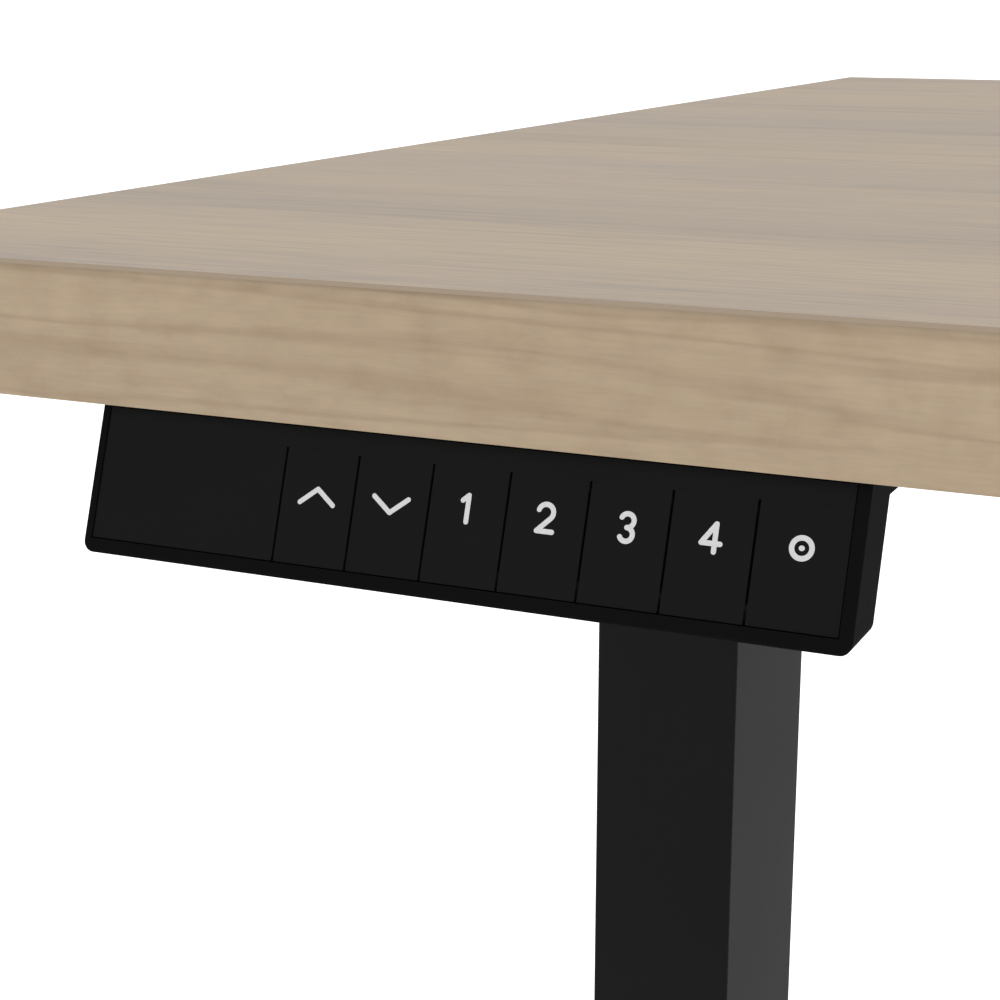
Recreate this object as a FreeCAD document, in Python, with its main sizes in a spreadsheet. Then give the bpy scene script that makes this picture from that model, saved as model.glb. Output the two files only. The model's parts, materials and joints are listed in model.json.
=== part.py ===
"""A height adjustable standing desk on two motor driven columns.

Row frame: millimetres, +Z up, the user sits at -Y. The origin is on the floor under the middle
of the tabletop. The desk is drawn with the tabletop at stand_height. Each column has three
tubes: the lower one stands on a foot, the upper one hangs from the top frame, and the middle
one always moves half as far as the upper one.
"""
import FreeCAD, Part
import math
import os

import Sketcher
from FreeCAD import Placement, Rotation, Vector

DRIVING_SIZES = (
    # alias, millimetres (degrees for a tilt), meaning
    ("top_width", 1600, "tabletop along X"),
    ("top_depth", 750, "tabletop along Y"),
    ("top_thick", 25, "tabletop, laminate included"),
    ("laminate_thick", 0.8, "sheet on top of the board"),
    ("band_thick", 1.0, "edge band round the board"),
    ("stand_height", 740, "floor to the top surface as drawn"),
    ("lowest_height", 620, "floor to the top surface at the bottom of the stroke"),
    ("stage_travel", 325, "travel of each of the two sliding stages"),
    ("column_inset", 31.8, "tabletop edge to the column's outer face"),
    ("upper_deep", 80, "upper tube along Y"),
    ("upper_thin", 51, "upper tube along X"),
    ("tube_step", 5, "each tube is this much smaller than the one around it"),
    ("tube_wall", 1.5, "wall of the three tubes"),
    ("tube_round", 1.2, "outer corner radius of the three tubes"),
    ("bore_round", 0.4, "inner corner radius of the three tubes"),
    ("glide_gap", 0.3, "sliding clearance outside a glide sleeve"),
    ("glide_length", 60, "glide sleeve along Z"),
    ("end_gap", 4, "step between tube ends when the desk is lowered"),
    ("stop_gap", 3, "clearance left above each stage when the desk is lowered"),
    ("plate_thick", 3, "side bracket and head plate"),
    ("gearbox_height", 50, "gearbox along Z"),
    ("spigot_height", 6, "collar of the gearbox inside the upper tube"),
    ("seat_gap", 0.2, "clearance round a piece that sits in another"),
    ("motor_radius", 28, "motor can"),
    ("motor_length", 92, "motor can along X"),
    ("motor_round", 2, "rounded rim of the motor can"),
    ("motor_cap", 6, "end cap of the can along X, and its step in from the can"),
    ("gland_radius", 9, "lead gland in the end cap"),
    ("gland_length", 3, "lead gland along X"),
    ("motor_drop", 30, "motor axis below the head plate"),
    ("drive_radius", 6, "drive screw, over its thread"),
    ("driver_flats", 14.4, "hexagon at the drive screw's lower end, across flats"),
    ("driver_length", 20, "the hexagon along Z"),
    ("screw_margin", 60, "length of each screw beyond one stage's travel"),
    ("journal_depth", 30, "drive screw inside the gearbox"),
    ("hollow_radius", 11, "hollow screw, over its thread"),
    ("hollow_collar", 14, "radius of the hollow screw's bearing collar"),
    ("collar_height", 10, "the bearing collar along Z"),
    ("thread_gap", 0.3, "radial clearance of a screw in its nut"),
    ("nut_block_height", 30, "nut block along Z"),
    ("lower_nut_height", 30, "lower nut along Z"),
    ("lower_nut_drop", 6, "top of the lower nut below the lower tube's top"),
    ("nut_flange", 5, "flange of the lower nut along Z"),
    ("push_radius", 17, "push tube, outside"),
    ("push_wall", 3, "wall of the push tube"),
    ("foot_length", 700, "foot along Y"),
    ("foot_width", 80, "foot along X"),
    ("foot_height", 30, "foot in the middle"),
    ("foot_end_height", 18, "foot at its ends"),
    ("foot_flat", 240, "level stretch of the foot's top"),
    ("foot_wall", 2.5, "sheet of the foot"),
    ("foot_clear", 12, "floor to the foot's rim"),
    ("base_plate", 8, "plate welded into the lower tube's foot end"),
    ("cap_thick", 3, "end cap along Y"),
    ("cap_round", 2.5, "rounded rim of an end cap"),
    ("plug_depth", 12, "plug of an end cap inside the foot"),
    ("leveller_inset", 45, "foot end to a leveller's axis"),
    ("pad_radius", 18, "leveller pad"),
    ("pad_height", 8, "leveller pad along Z"),
    ("pad_round", 2, "rounded rim of a leveller pad"),
    ("stud_radius", 4, "leveller stud"),
    ("boss_radius", 8, "threaded boss of a leveller"),
    ("boss_height", 11, "threaded boss below the foot's top"),
    ("boss_skin", 2, "metal left above the thread of a boss"),
    ("stud_gap", 1, "clearance above a leveller's stud"),
    ("bolt_radius", 3, "M6 bolts"),
    ("bolt_gap", 0.3, "clearance hole over a bolt, on the radius"),
    ("bolt_head", 5, "radius of a bolt head"),
    ("bolt_head_height", 4, "bolt head along Z"),
    ("foot_bolt_x", 12, "foot bolts off the column axis, along X"),
    ("foot_bolt_y", 25, "foot bolts off the column axis, along Y"),
    ("bracket_length", 580, "side bracket along Y"),
    ("bracket_width", 60, "side bracket along X"),
    ("bracket_flange", 18, "down turned flange of the side bracket"),
    ("bracket_chamfer", 18, "cut corners of the side bracket"),
    ("end_screw_inset", 25, "outer wood screws from the bracket's ends"),
    ("inner_screw_y", 120, "inner wood screws off the column axis, along Y"),
    ("head_bolt_x", 15, "head plate bolts off the column axis, along X"),
    ("head_bolt_clear", 10.5, "head plate bolts outside the outer rails, along Y"),
    ("head_edge", 11, "head plate bolts from the head plate's ends"),
    ("gear_screw_inset", 12, "gearbox screws from the gearbox's sides, along Y"),
    ("gear_screw_radius", 2.5, "countersunk gearbox screws"),
    ("gear_screw_head", 4.6, "radius of a countersunk head"),
    ("gear_screw_length", 12, "gearbox screws inside the gearbox"),
    ("rail_width", 25, "outer rail along Y"),
    ("rail_height", 40, "outer rail along Z"),
    ("rail_wall", 2, "wall of the rails"),
    ("rail_length", 568, "outer rail along X"),
    ("rail_clear", 1.5, "gap between the gearbox and an outer rail"),
    ("rail_gap", 0.3, "clearance between inner and outer rail"),
    ("centre_rail_length", 700, "inner rail along X"),
    ("rail_bolt_inset", 20, "first rail bolt from the end of the outer rail"),
    ("rail_bolt_pitch", 100, "between the two bolts of a rail joint"),
    ("wood_screw_radius", 2.3, "wood screw shank"),
    ("wood_screw_length", 18, "wood screw shank below its head"),
    ("wood_screw_head", 4.5, "radius of a wood screw head"),
    ("wood_head_height", 3, "wood screw head along Z"),
    ("control_x", 150, "control box middle, along X"),
    ("control_y", 180, "control box middle, along Y"),
    ("control_width", 220, "control box along X"),
    ("control_depth", 95, "control box along Y"),
    ("control_height", 38, "control box along Z, lid included"),
    ("control_wall", 2, "wall and lid of the control box"),
    ("control_ear", 14, "screw ears of the control box lid"),
    ("control_round", 3, "rounded upright edges of the control box"),
    ("ear_round", 4.5, "rounded corners of the lid"),
    ("socket_pitch", 60, "sockets of the control box, along X"),
    ("socket_width", 16, "socket along X"),
    ("socket_height", 11, "socket along Z"),
    ("socket_drop", 19, "socket middle below the tabletop"),
    ("socket_depth", 14, "socket along Y"),
    ("inlet_width", 25.6, "mains inlet along X"),
    ("inlet_height", 17.6, "mains inlet along Z"),
    ("inlet_depth", 18, "mains inlet along Y"),
    ("recess_width", 20, "recess of the mains inlet along X"),
    ("recess_height", 12.1, "recess of the mains inlet along Z"),
    ("recess_depth", 13, "recess of the mains inlet along Y"),
    ("board_inset", 10, "control board from the ends of its box"),
    ("board_lift", 3, "control board above the floor of its box"),
    ("coil_x", 50, "transformer middle left of the middle of the box"),
    ("coil_width", 40, "transformer along X"),
    ("coil_depth", 35, "transformer along Y"),
    ("coil_height", 20, "transformer along Z"),
    ("can_radius", 10, "capacitor"),
    ("can_height", 22, "capacitor along Z"),
    ("lead_radius", 2, "motor and handset leads"),
    ("lead_drop", 3, "lead axis below the tabletop"),
    ("lead_lane", 130, "lane of the handset lead in front of the column axis"),
    ("lead_side", 22, "handset lead from the right side of the handset"),
    ("socket_run", 24, "straight run of a lead in front of its socket"),
    ("socket_fall", 30, "run over which a lead drops to its socket"),
    ("motor_run", 50, "straight run of a lead out of its motor"),
    ("motor_rise", 60, "run over which a motor lead rises to the tabletop"),
    ("exit_rise", 10, "exit of the handset lead above the handset's foot"),
    ("exit_run", 12, "straight run of the handset lead out of the handset"),
    ("flange_pass", 4, "handset lead behind the flange where it passes it"),
    ("flange_dip", 13, "handset lead below the flange where it passes it"),
    ("flange_run", 50, "from the flange to where the handset lead is level"),
    ("clip_far", 300, "left motor lead's outer clip off the middle"),
    ("clip_near", 60, "left motor lead's inner clip off the middle"),
    ("clip_right", 360, "right motor lead's clip off the middle"),
    ("clip_back", 90, "handset lead's first clip in front of its lane"),
    ("clip_side", 190, "handset lead's second clip along its lane"),
    ("clip_middle", 140, "handset lead's third clip left of the middle"),
    ("clip_length", 12, "lead clip along the lead"),
    ("clip_width", 14, "lead clip across the lead"),
    ("clip_height", 5.8, "lead clip along Z"),
    ("handset_side", 71.2, "tabletop's left edge to the handset"),
    ("handset_width", 140.2, "handset along X"),
    ("handset_tilt", 19, "handset face leans back by this angle"),
    ("handset_drop", 25.4, "handset below the tabletop"),
    ("handset_depth", 13.6, "handset along Y, at its level bottom"),
    ("handset_setback", 1.1, "tabletop's front edge to the top of the face"),
    ("handset_round", 2, "rounded bottom corners of the handset, seen from the front"),
    ("face_round", 0.6, "rounded edge round the handset's face"),
    ("back_round", 1.2, "rounded edge round the handset's back"),
    ("flange_thick", 4.4, "handset flange under the tabletop"),
    ("flange_reach", 55, "handset flange behind the tabletop's front edge"),
    ("flange_screw_inset", 20, "handset screws from the handset's sides"),
    ("flange_screw_reach", 40, "handset screws behind the front edge"),
    ("bezel_side", 1.6, "handset rim at the left"),
    ("bezel_right", 2.1, "handset rim at the right"),
    ("bezel_bottom", 2.75, "handset rim at the bottom"),
    ("groove_width", 0.45, "gap between keys"),
    ("hinge_gap", 0.05, "gap at the hinge line of the keys"),
    ("display_width", 37.2, "plain display end of the key panel"),
    ("key_pitch", 14.03, "keys along X"),
    ("key_root", 22.6, "hinge line of the keys above the face's bottom edge"),
    ("panel_top", 26.4, "top edge of the key panel above the face's bottom edge"),
    ("panel_recess", 0.2, "key panel behind the rim"),
    ("panel_thick", 1.6, "key panel and keys"),
    ("cavity_knee", 1.8, "level floor of the handset cavity behind the keys"),
    ("cavity_top", 21.5, "handset cavity above the face's bottom edge"),
    ("cover_thick", 1.5, "handset back cover"),
    ("board_thick", 1.6, "circuit boards"),
    ("board_edge", 1, "handset board inside the cavity"),
    ("display_inset", 4, "display module inside the plain end of the key panel"),
    ("board_depth", 5.8, "front of the handset's circuit board behind the face"),
    ("switch_size", 6, "key switches, square"),
    ("switch_front", 3.0, "front of the key switches behind the face"),
    ("plunger_radius", 2, "plunger on the back of a key"),
    ("plunger_length", 0.6, "plunger behind a key"),
    ("plunger_rise", 13, "plunger and switch above the face's bottom edge"),
    ("overcut", 1, "how far a cut reaches past the piece that it cuts"),
)

doc = FreeCAD.newDocument("standing_desk")
sheet = doc.addObject("Spreadsheet::Sheet", "sizes")
for row, (alias, number, meaning) in enumerate(DRIVING_SIZES, start=1):
    sheet.set(f"A{row}", meaning)
    sheet.set(f"B{row}", str(number))
    sheet.setAlias(f"B{row}", alias)
doc.recompute()

# Levels and places that several sub-parts share, as expressions on the sheet.
UNDERSIDE = "(sizes.stand_height - sizes.top_thick)"
LIFT = "(sizes.stand_height - sizes.lowest_height)"
COLUMN_X = "(sizes.top_width / 2 - sizes.column_inset - sizes.upper_thin / 2)"
BRACKET_BOTTOM = f"({UNDERSIDE} - sizes.plate_thick)"
HEAD_BOTTOM = f"({BRACKET_BOTTOM} - sizes.plate_thick)"
GEARBOX_BOTTOM = f"({HEAD_BOTTOM} - sizes.gearbox_height)"
MOTOR_AXIS = f"({HEAD_BOTTOM} - sizes.motor_drop)"
FOOT_TOP = "(sizes.foot_clear + sizes.foot_height)"
UPPER_BOTTOM = f"({FOOT_TOP} + 3 * sizes.end_gap + {LIFT})"
MIDDLE_BOTTOM = f"({FOOT_TOP} + 2 * sizes.end_gap + {LIFT} / 2)"
MIDDLE_TOP = f"({GEARBOX_BOTTOM} - sizes.spigot_height - sizes.stop_gap - {LIFT} / 2)"
LOWER_TOP = f"({MIDDLE_TOP} - {LIFT} / 2 - sizes.nut_block_height - sizes.stop_gap)"
MIDDLE_DEEP = "(sizes.upper_deep - sizes.tube_step)"
MIDDLE_THIN = "(sizes.upper_thin - sizes.tube_step)"
LOWER_DEEP = "(sizes.upper_deep - 2 * sizes.tube_step)"
LOWER_THIN = "(sizes.upper_thin - 2 * sizes.tube_step)"
SCREW_LENGTH = "(sizes.stage_travel + sizes.screw_margin)"
COLLAR_TOP = f"({MIDDLE_TOP} - sizes.nut_block_height / 2)"
LOWER_NUT_TOP = f"({LOWER_TOP} - sizes.lower_nut_drop)"
RAIL_Z = f"({HEAD_BOTTOM} - sizes.rail_height / 2)"
RAIL_Y = "(sizes.upper_deep / 2 + sizes.rail_clear + sizes.rail_width / 2)"
HEAD_BOLT_Y = f"({RAIL_Y} + sizes.rail_width / 2 + sizes.head_bolt_clear)"
GEAR_SCREW_Y = "(sizes.upper_deep / 2 - sizes.gear_screw_inset)"
LEVELLER_Y = "(sizes.foot_length / 2 - sizes.leveller_inset)"
FOOT_SLOPE = (
    "((sizes.foot_height - sizes.foot_end_height)"
    " / ((sizes.foot_length - sizes.foot_flat) / 2))"
)
BOSS_TOP = (
    f"(sizes.foot_clear + sizes.foot_end_height + {FOOT_SLOPE} * sizes.leveller_inset"
    " - sizes.foot_wall / 2)"
)
FRONT = "(-sizes.top_depth / 2)"
CONTROL_FRONT = "(sizes.control_y - sizes.control_depth / 2)"
CONTROL_BOTTOM = f"({UNDERSIDE} - sizes.control_height)"
SOCKET_Z = f"({UNDERSIDE} - sizes.socket_drop)"
LEAD_Z = f"({UNDERSIDE} - sizes.lead_drop)"
HANDSET_X = "(sizes.handset_side - sizes.top_width / 2)"
HANDSET_Y = (
    f"({FRONT} + sizes.handset_setback - sizes.handset_drop * tan(sizes.handset_tilt))"
)
HANDSET_Z = f"({UNDERSIDE} - sizes.handset_drop)"
HANDSET_THICK = "(sizes.handset_depth * cos(sizes.handset_tilt))"
PANEL_BACK = "(sizes.panel_recess + sizes.panel_thick)"
KEYS_LEFT = "(sizes.bezel_side + sizes.display_width)"
PANEL_RIGHT = "(sizes.handset_width - sizes.bezel_right)"
CAVITY_KNEE = f"({PANEL_BACK} + sizes.cavity_knee)"
CAVITY_BACK = f"({HANDSET_THICK} + sizes.overcut)"
CAVITY_BACK_LOW = (
    f"(sizes.bezel_bottom + ({CAVITY_BACK} - {CAVITY_KNEE}) * tan(sizes.handset_tilt))"
)
LEAD_X = f"({HANDSET_X} + sizes.handset_width - sizes.lead_side)"
LEAD_Y = "(-sizes.lead_lane)"
BRACKET_SCREWS = tuple(
    f"{sign} * {along}" for sign in (-1, 1)
    for along in ("sizes.inner_screw_y", "(sizes.bracket_length / 2 - sizes.end_screw_inset)")
)
SIDES = (("left", -1), ("right", 1))
KEYS = ("key_up", "key_down", "key_one", "key_two", "key_three", "key_four", "key_memory")

nodes = []


# ---------------------------------------------------------------- shared helpers

def value(expression):
    """The number that an expression on the sheet has now."""
    return float(sheet.evalExpression(expression))


def keep(item, label):
    """Make a finished object one of the sub-parts that are written out."""
    item.Label = label
    nodes.append(item)
    return item


def place(item, x="0", y="0", z="0"):
    """Bind an object's place to expressions."""
    for axis, expression in zip("xyz", (x, y, z)):
        item.setExpression(f".Placement.Base.{axis}", str(expression))
    return item


def new_body(name):
    """An empty PartDesign body."""
    return doc.addObject("PartDesign::Body", name)


def sketch_on(body, plane, offset):
    """An empty sketch on one of the body's own planes, moved along that plane's normal."""
    planes = {feature.Role: feature for feature in body.Origin.OriginFeatures}
    sketch = body.newObject("Sketcher::SketchObject", f"{body.Name}_sketch")
    sketch.AttachmentSupport = [(planes[plane], "")]
    sketch.MapMode = "FlatFace"
    sketch.setExpression(".AttachmentOffset.Base.z", str(offset))
    return sketch


def fix_point(sketch, geometry, point, x, y):
    """Tie one point of a sketch to two expressions."""
    for kind, expression in (("DistanceX", x), ("DistanceY", y)):
        rule = Sketcher.Constraint(kind, geometry, point, value(expression))
        number = sketch.addConstraint(rule)
        sketch.setExpression(f"Constraints[{number}]", str(expression))


def polygon(body, plane, corners, offset="0"):
    """A closed outline of straight edges whose corners are pairs of expressions."""
    sketch = sketch_on(body, plane, offset)
    spots = [Vector(value(x), value(y), 0) for x, y in corners]
    for here, following in zip(spots, spots[1:] + spots[:1]):
        sketch.addGeometry(Part.LineSegment(here, following))
    for edge in range(len(spots)):
        joined = Sketcher.Constraint("Coincident", edge, 2, (edge + 1) % len(spots), 1)
        sketch.addConstraint(joined)
    for edge, (x, y) in enumerate(corners):
        fix_point(sketch, edge, 1, x, y)
    return sketch


def rounded(body, x_size, y_size, radius, offset):
    """A rectangle about the origin of the XY plane with rounded corners."""
    sketch = sketch_on(body, "XY_Plane", offset)
    far_x, far_y = f"({x_size}) / 2", f"({y_size}) / 2"
    near_x, near_y = f"({far_x} - {radius})", f"({far_y} - {radius})"
    sides = [
        ((f"-{near_x}", f"-{far_y}"), (near_x, f"-{far_y}")),
        ((far_x, f"-{near_y}"), (far_x, near_y)),
        ((near_x, far_y), (f"-{near_x}", far_y)),
        ((f"-{far_x}", near_y), (f"-{far_x}", f"-{near_y}")),
    ]
    for start, finish in sides:
        ends = [Vector(value(x), value(y), 0) for x, y in (start, finish)]
        sketch.addGeometry(Part.LineSegment(*ends))
    signs = ((1, -1), (1, 1), (-1, 1), (-1, -1))
    for corner, (i, j) in enumerate(signs):
        centre = Vector(i * value(near_x), j * value(near_y), 0)
        circle = Part.Circle(centre, Vector(0, 0, 1), value(radius))
        turn = (corner - 1) * math.pi / 2
        sketch.addGeometry(Part.ArcOfCircle(circle, turn, turn + math.pi / 2))
    for side, (start, finish) in enumerate(sides):
        fix_point(sketch, side, 1, *start)
        fix_point(sketch, side, 2, *finish)
        arc = side + 4
        sketch.addConstraint(Sketcher.Constraint("Tangent", arc, 1, side, 2))
        sketch.addConstraint(Sketcher.Constraint("Coincident", arc, 2, (side + 1) % 4, 1))
    return sketch


def circles(body, plane, centres, radius, offset="0"):
    """One sketch of equal circles."""
    sketch = sketch_on(body, plane, offset)
    for number, (x, y) in enumerate(centres):
        middle = Vector(value(x), value(y), 0)
        sketch.addGeometry(Part.Circle(middle, Vector(0, 0, 1), value(radius)))
        fix_point(sketch, number, 3, x, y)
        rule = sketch.addConstraint(Sketcher.Constraint("Radius", number, value(radius)))
        sketch.setExpression(f"Constraints[{rule}]", str(radius))
    return sketch


def rectangle(x_size, y_size, x_middle="0", y_middle="0"):
    """The corners of a rectangle about its middle."""
    return [
        (f"{x_middle} - {x_size} / 2", f"{y_middle} - {y_size} / 2"),
        (f"{x_middle} + {x_size} / 2", f"{y_middle} - {y_size} / 2"),
        (f"{x_middle} + {x_size} / 2", f"{y_middle} + {y_size} / 2"),
        (f"{x_middle} - {x_size} / 2", f"{y_middle} + {y_size} / 2"),
    ]


def pad(body, sketch, length, both_ways=False):
    """Add material along the sketch's normal."""
    feature = body.newObject("PartDesign::Pad", f"{body.Name}_pad")
    feature.Profile = sketch
    feature.Midplane = both_ways
    feature.setExpression("Length", str(length))
    doc.recompute()
    return feature


def pocket(body, sketch, length, forward=True, both_ways=False):
    """Remove material; forward cuts along the sketch's normal."""
    before = body.Shape.Volume
    feature = body.newObject("PartDesign::Pocket", f"{body.Name}_pocket")
    feature.Profile = sketch
    feature.Reversed = forward
    feature.Midplane = both_ways
    feature.setExpression("Length", str(length))
    doc.recompute()
    if body.Shape.Volume >= before:
        raise RuntimeError(f"{feature.Name} cuts nothing")
    return feature


def round_edges(body, radius, chosen):
    """Round the edges of the body that the function chosen picks."""
    base = body.Tip
    names = [
        f"Edge{number}"
        for number, edge in enumerate(base.Shape.Edges, start=1)
        if chosen(edge)
    ]
    feature = body.newObject("PartDesign::Fillet", f"{body.Name}_round")
    feature.Base = (base, names)
    feature.setExpression("Radius", str(radius))
    doc.recompute()
    return feature


def runs_along(edge, axis):
    """True for a straight edge parallel to an axis."""
    if edge.Curve.TypeId != "Part::GeomLine":
        return False
    return abs(edge.tangentAt(edge.FirstParameter).dot(axis)) > 0.999


def upright(edge):
    """True for a straight edge parallel to Z."""
    return runs_along(edge, Vector(0, 0, 1))


def box(name, corner, extent):
    """A Part box from its low corner and its three sizes."""
    item = doc.addObject("Part::Box", name)
    for key, expression in zip(("Length", "Width", "Height"), extent):
        item.setExpression(key, str(expression))
    return place(item, *corner)


def rod(name, foot, radius, height):
    """A Part cylinder standing on Z."""
    item = doc.addObject("Part::Cylinder", name)
    item.setExpression("Radius", str(radius))
    item.setExpression("Height", str(height))
    return place(item, *foot)


def fuse(name, items):
    """Join Part shapes into one solid."""
    item = doc.addObject("Part::MultiFuse", name)
    item.Shapes = items
    return item


def cut(name, base, tool):
    """Take one Part shape from another."""
    item = doc.addObject("Part::Cut", name)
    item.Base = base
    item.Tool = tool
    return item


def group(name, items):
    """Equal pieces that share one sub-part, as separate solids."""
    item = doc.addObject("Part::Compound", name)
    item.Links = items
    return item


def four_spots(x, y):
    """The four corners of a rectangle of holes."""
    return [(f"{i} * {x}", f"{j} * {y}") for i in (-1, 1) for j in (-1, 1)]


# ---------------------------------------------------------------- tabletop

def wood_screw_spots():
    """Place of each wood screw: X, Y and the plate face that its head bears on."""
    spots = []
    for _, sign in SIDES:
        for y in BRACKET_SCREWS:
            spots.append((f"{sign} * {COLUMN_X}", y, BRACKET_BOTTOM))
    for i in (-1, 1):
        for j in (-1, 1):
            x = f"sizes.control_x + {i} * (sizes.control_width + sizes.control_ear) / 2"
            y = f"sizes.control_y + {j} * (sizes.control_depth / 2 - sizes.control_ear)"
            spots.append((x, y, f"({UNDERSIDE} - sizes.control_wall)"))
    reach = f"{FRONT} + sizes.flange_screw_reach"
    seat = f"({UNDERSIDE} - sizes.flange_thick)"
    spots.append((f"{HANDSET_X} + sizes.flange_screw_inset", reach, seat))
    far_side = "sizes.handset_width - sizes.flange_screw_inset"
    spots.append((f"{HANDSET_X} + {far_side}", reach, seat))
    return spots


def tabletop():
    """Board with pilot holes, edge band round it and laminate over both."""
    core_width = "(sizes.top_width - 2 * sizes.band_thick)"
    core_depth = "(sizes.top_depth - 2 * sizes.band_thick)"
    core_thick = "(sizes.top_thick - sizes.laminate_thick)"
    core = new_body("tabletop_core")
    pad(core, polygon(core, "XY_Plane", rectangle(core_width, core_depth), UNDERSIDE), core_thick)
    holes = [(x, y) for x, y, _ in wood_screw_spots()]
    hole_radius = "sizes.wood_screw_radius + sizes.seat_gap"
    pilot = circles(core, "XY_Plane", holes, hole_radius, UNDERSIDE)
    pocket(core, pilot, "sizes.wood_screw_length")
    keep(core, "tabletop_core")

    band = new_body("edge_band")
    outer = polygon(band, "XY_Plane", rectangle("sizes.top_width", "sizes.top_depth"), UNDERSIDE)
    pad(band, outer, core_thick)
    inner = polygon(band, "XY_Plane", rectangle(core_width, core_depth), UNDERSIDE)
    pocket(band, inner, core_thick)
    keep(band, "edge_band")

    laminate = box(
        "top_laminate",
        ("-sizes.top_width / 2", FRONT, f"{UNDERSIDE} + {core_thick}"),
        ("sizes.top_width", "sizes.top_depth", "sizes.laminate_thick"),
    )
    keep(laminate, "top_laminate")


def wood_screws():
    """Pan head wood screws, heads down, through the plates into the board."""
    screws = []
    for x, y, seat in wood_screw_spots():
        head_bottom = f"{seat} - sizes.wood_head_height"
        head = rod("screw_head", (x, y, head_bottom), "sizes.wood_screw_head", "sizes.wood_head_height")
        shank = rod("screw_shank", (x, y, seat), "sizes.wood_screw_radius", "sizes.wood_screw_length")
        screws.append(fuse("wood_screw", [head, shank]))
    keep(group("wood_screws", screws), "wood_screws")


# ---------------------------------------------------------------- feet

def foot(side, sign):
    """Inverted sheet steel channel, level in the middle and sloping to both ends."""
    half = "sizes.foot_length / 2"
    flat = "sizes.foot_flat / 2"
    rim = "sizes.foot_clear"
    end_top = "(sizes.foot_clear + sizes.foot_end_height)"
    body = new_body(f"{side}_foot")
    side_view = [
        (f"-{half}", rim), (half, rim), (half, end_top),
        (flat, FOOT_TOP), (f"-{flat}", FOOT_TOP), (f"-{half}", end_top),
    ]
    pad(body, polygon(body, "YZ_Plane", side_view), "sizes.foot_width", both_ways=True)
    round_edges(body, "sizes.foot_wall", is_top_rim)
    wall = "sizes.foot_wall"
    past = f"({half} + sizes.overcut)"
    below = f"{rim} - sizes.overcut"
    past_top = f"{end_top} - {wall} - {FOOT_SLOPE} * sizes.overcut"
    hollow = [
        (f"-{past}", below), (past, below), (past, past_top),
        (flat, f"{FOOT_TOP} - {wall}"), (f"-{flat}", f"{FOOT_TOP} - {wall}"),
        (f"-{past}", past_top),
    ]
    inside = polygon(body, "YZ_Plane", hollow)
    pocket(body, inside, f"sizes.foot_width - 2 * {wall}", both_ways=True)
    spots = [("0", f"-{LEVELLER_Y}"), ("0", LEVELLER_Y)]
    boss_foot = f"{BOSS_TOP} - sizes.boss_height"
    boss = circles(body, "XY_Plane", spots, "sizes.boss_radius", boss_foot)
    pad(body, boss, "sizes.boss_height")
    thread = circles(body, "XY_Plane", spots, "sizes.stud_radius + sizes.thread_gap", boss_foot)
    pocket(body, thread, "sizes.boss_height - sizes.boss_skin")
    bolts = four_spots("sizes.foot_bolt_x", "sizes.foot_bolt_y")
    top_skin = f"{FOOT_TOP} - {wall}"
    pocket(body, circles(body, "XY_Plane", bolts, "sizes.bolt_radius + sizes.bolt_gap", top_skin), wall)
    place(body, x=f"{sign} * {COLUMN_X}")
    keep(body, f"{side}_foot")


def is_top_rim(edge):
    """True for the long edges of a foot's top, level or sloping."""
    if abs(edge.CenterOfMass.x) < 1 or len(edge.Vertexes) < 2:
        return False
    start, finish = [vertex.Point for vertex in edge.Vertexes]
    level = value("sizes.foot_clear + sizes.foot_end_height") - 0.01
    return min(start.z, finish.z) > level and abs(start.y - finish.y) > 1


def foot_end_caps():
    """Plastic caps that close the four foot ends."""
    caps = []
    plug_width = "(sizes.foot_width - 2 * sizes.foot_wall - 2 * sizes.seat_gap)"
    plug_height = "(sizes.foot_end_height - sizes.foot_wall - sizes.seat_gap)"
    for side, sign in SIDES:
        for end in (-1, 1):
            body = new_body(f"{side}_cap")
            end_y = f"{end} * sizes.foot_length / 2"
            cap_y = f"{end_y} + {end} * sizes.cap_thick / 2"
            face = rectangle("sizes.foot_width", "sizes.cap_thick", "0", cap_y)
            pad(body, polygon(body, "XY_Plane", face, "sizes.foot_clear"), "sizes.foot_end_height")
            outer_y = value(f"{end_y} + {end} * sizes.cap_thick")
            round_edges(body, "sizes.cap_round", lambda edge: on_cap_face(edge, outer_y))
            plug_y = f"{end_y} - {end} * sizes.plug_depth / 2"
            plug = rectangle(plug_width, "sizes.plug_depth", "0", plug_y)
            pad(body, polygon(body, "XY_Plane", plug, "sizes.foot_clear"), plug_height)
            caps.append(place(body, x=f"{sign} * {COLUMN_X}"))
    keep(group("foot_end_caps", caps), "foot_end_caps")


def on_cap_face(edge, outer_y):
    """True for the side and top edges of an end cap's outer face."""
    centre = edge.CenterOfMass
    above_rim = centre.z > value("sizes.foot_clear") + 0.5
    return abs(centre.y - outer_y) < 0.01 and above_rim


def levellers():
    """Screw feet, each a round pad with a threaded stud."""
    for side, sign in SIDES:
        for name, end in (("front", -1), ("rear", 1)):
            body = new_body(f"{side}_{name}_leveller")
            middle = [("0", "0")]
            pad(body, circles(body, "XY_Plane", middle, "sizes.pad_radius"), "sizes.pad_height")
            round_edges(body, "sizes.pad_round", lambda edge: edge.CenterOfMass.z > 1)
            stud = circles(body, "XY_Plane", middle, "sizes.stud_radius", "sizes.pad_height")
            pad(body, stud, f"{BOSS_TOP} - sizes.pad_height - sizes.boss_skin - sizes.stud_gap")
            place(body, x=f"{sign} * {COLUMN_X}", y=f"{end} * {LEVELLER_Y}")
            keep(body, f"{side}_{name}_leveller")


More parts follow.
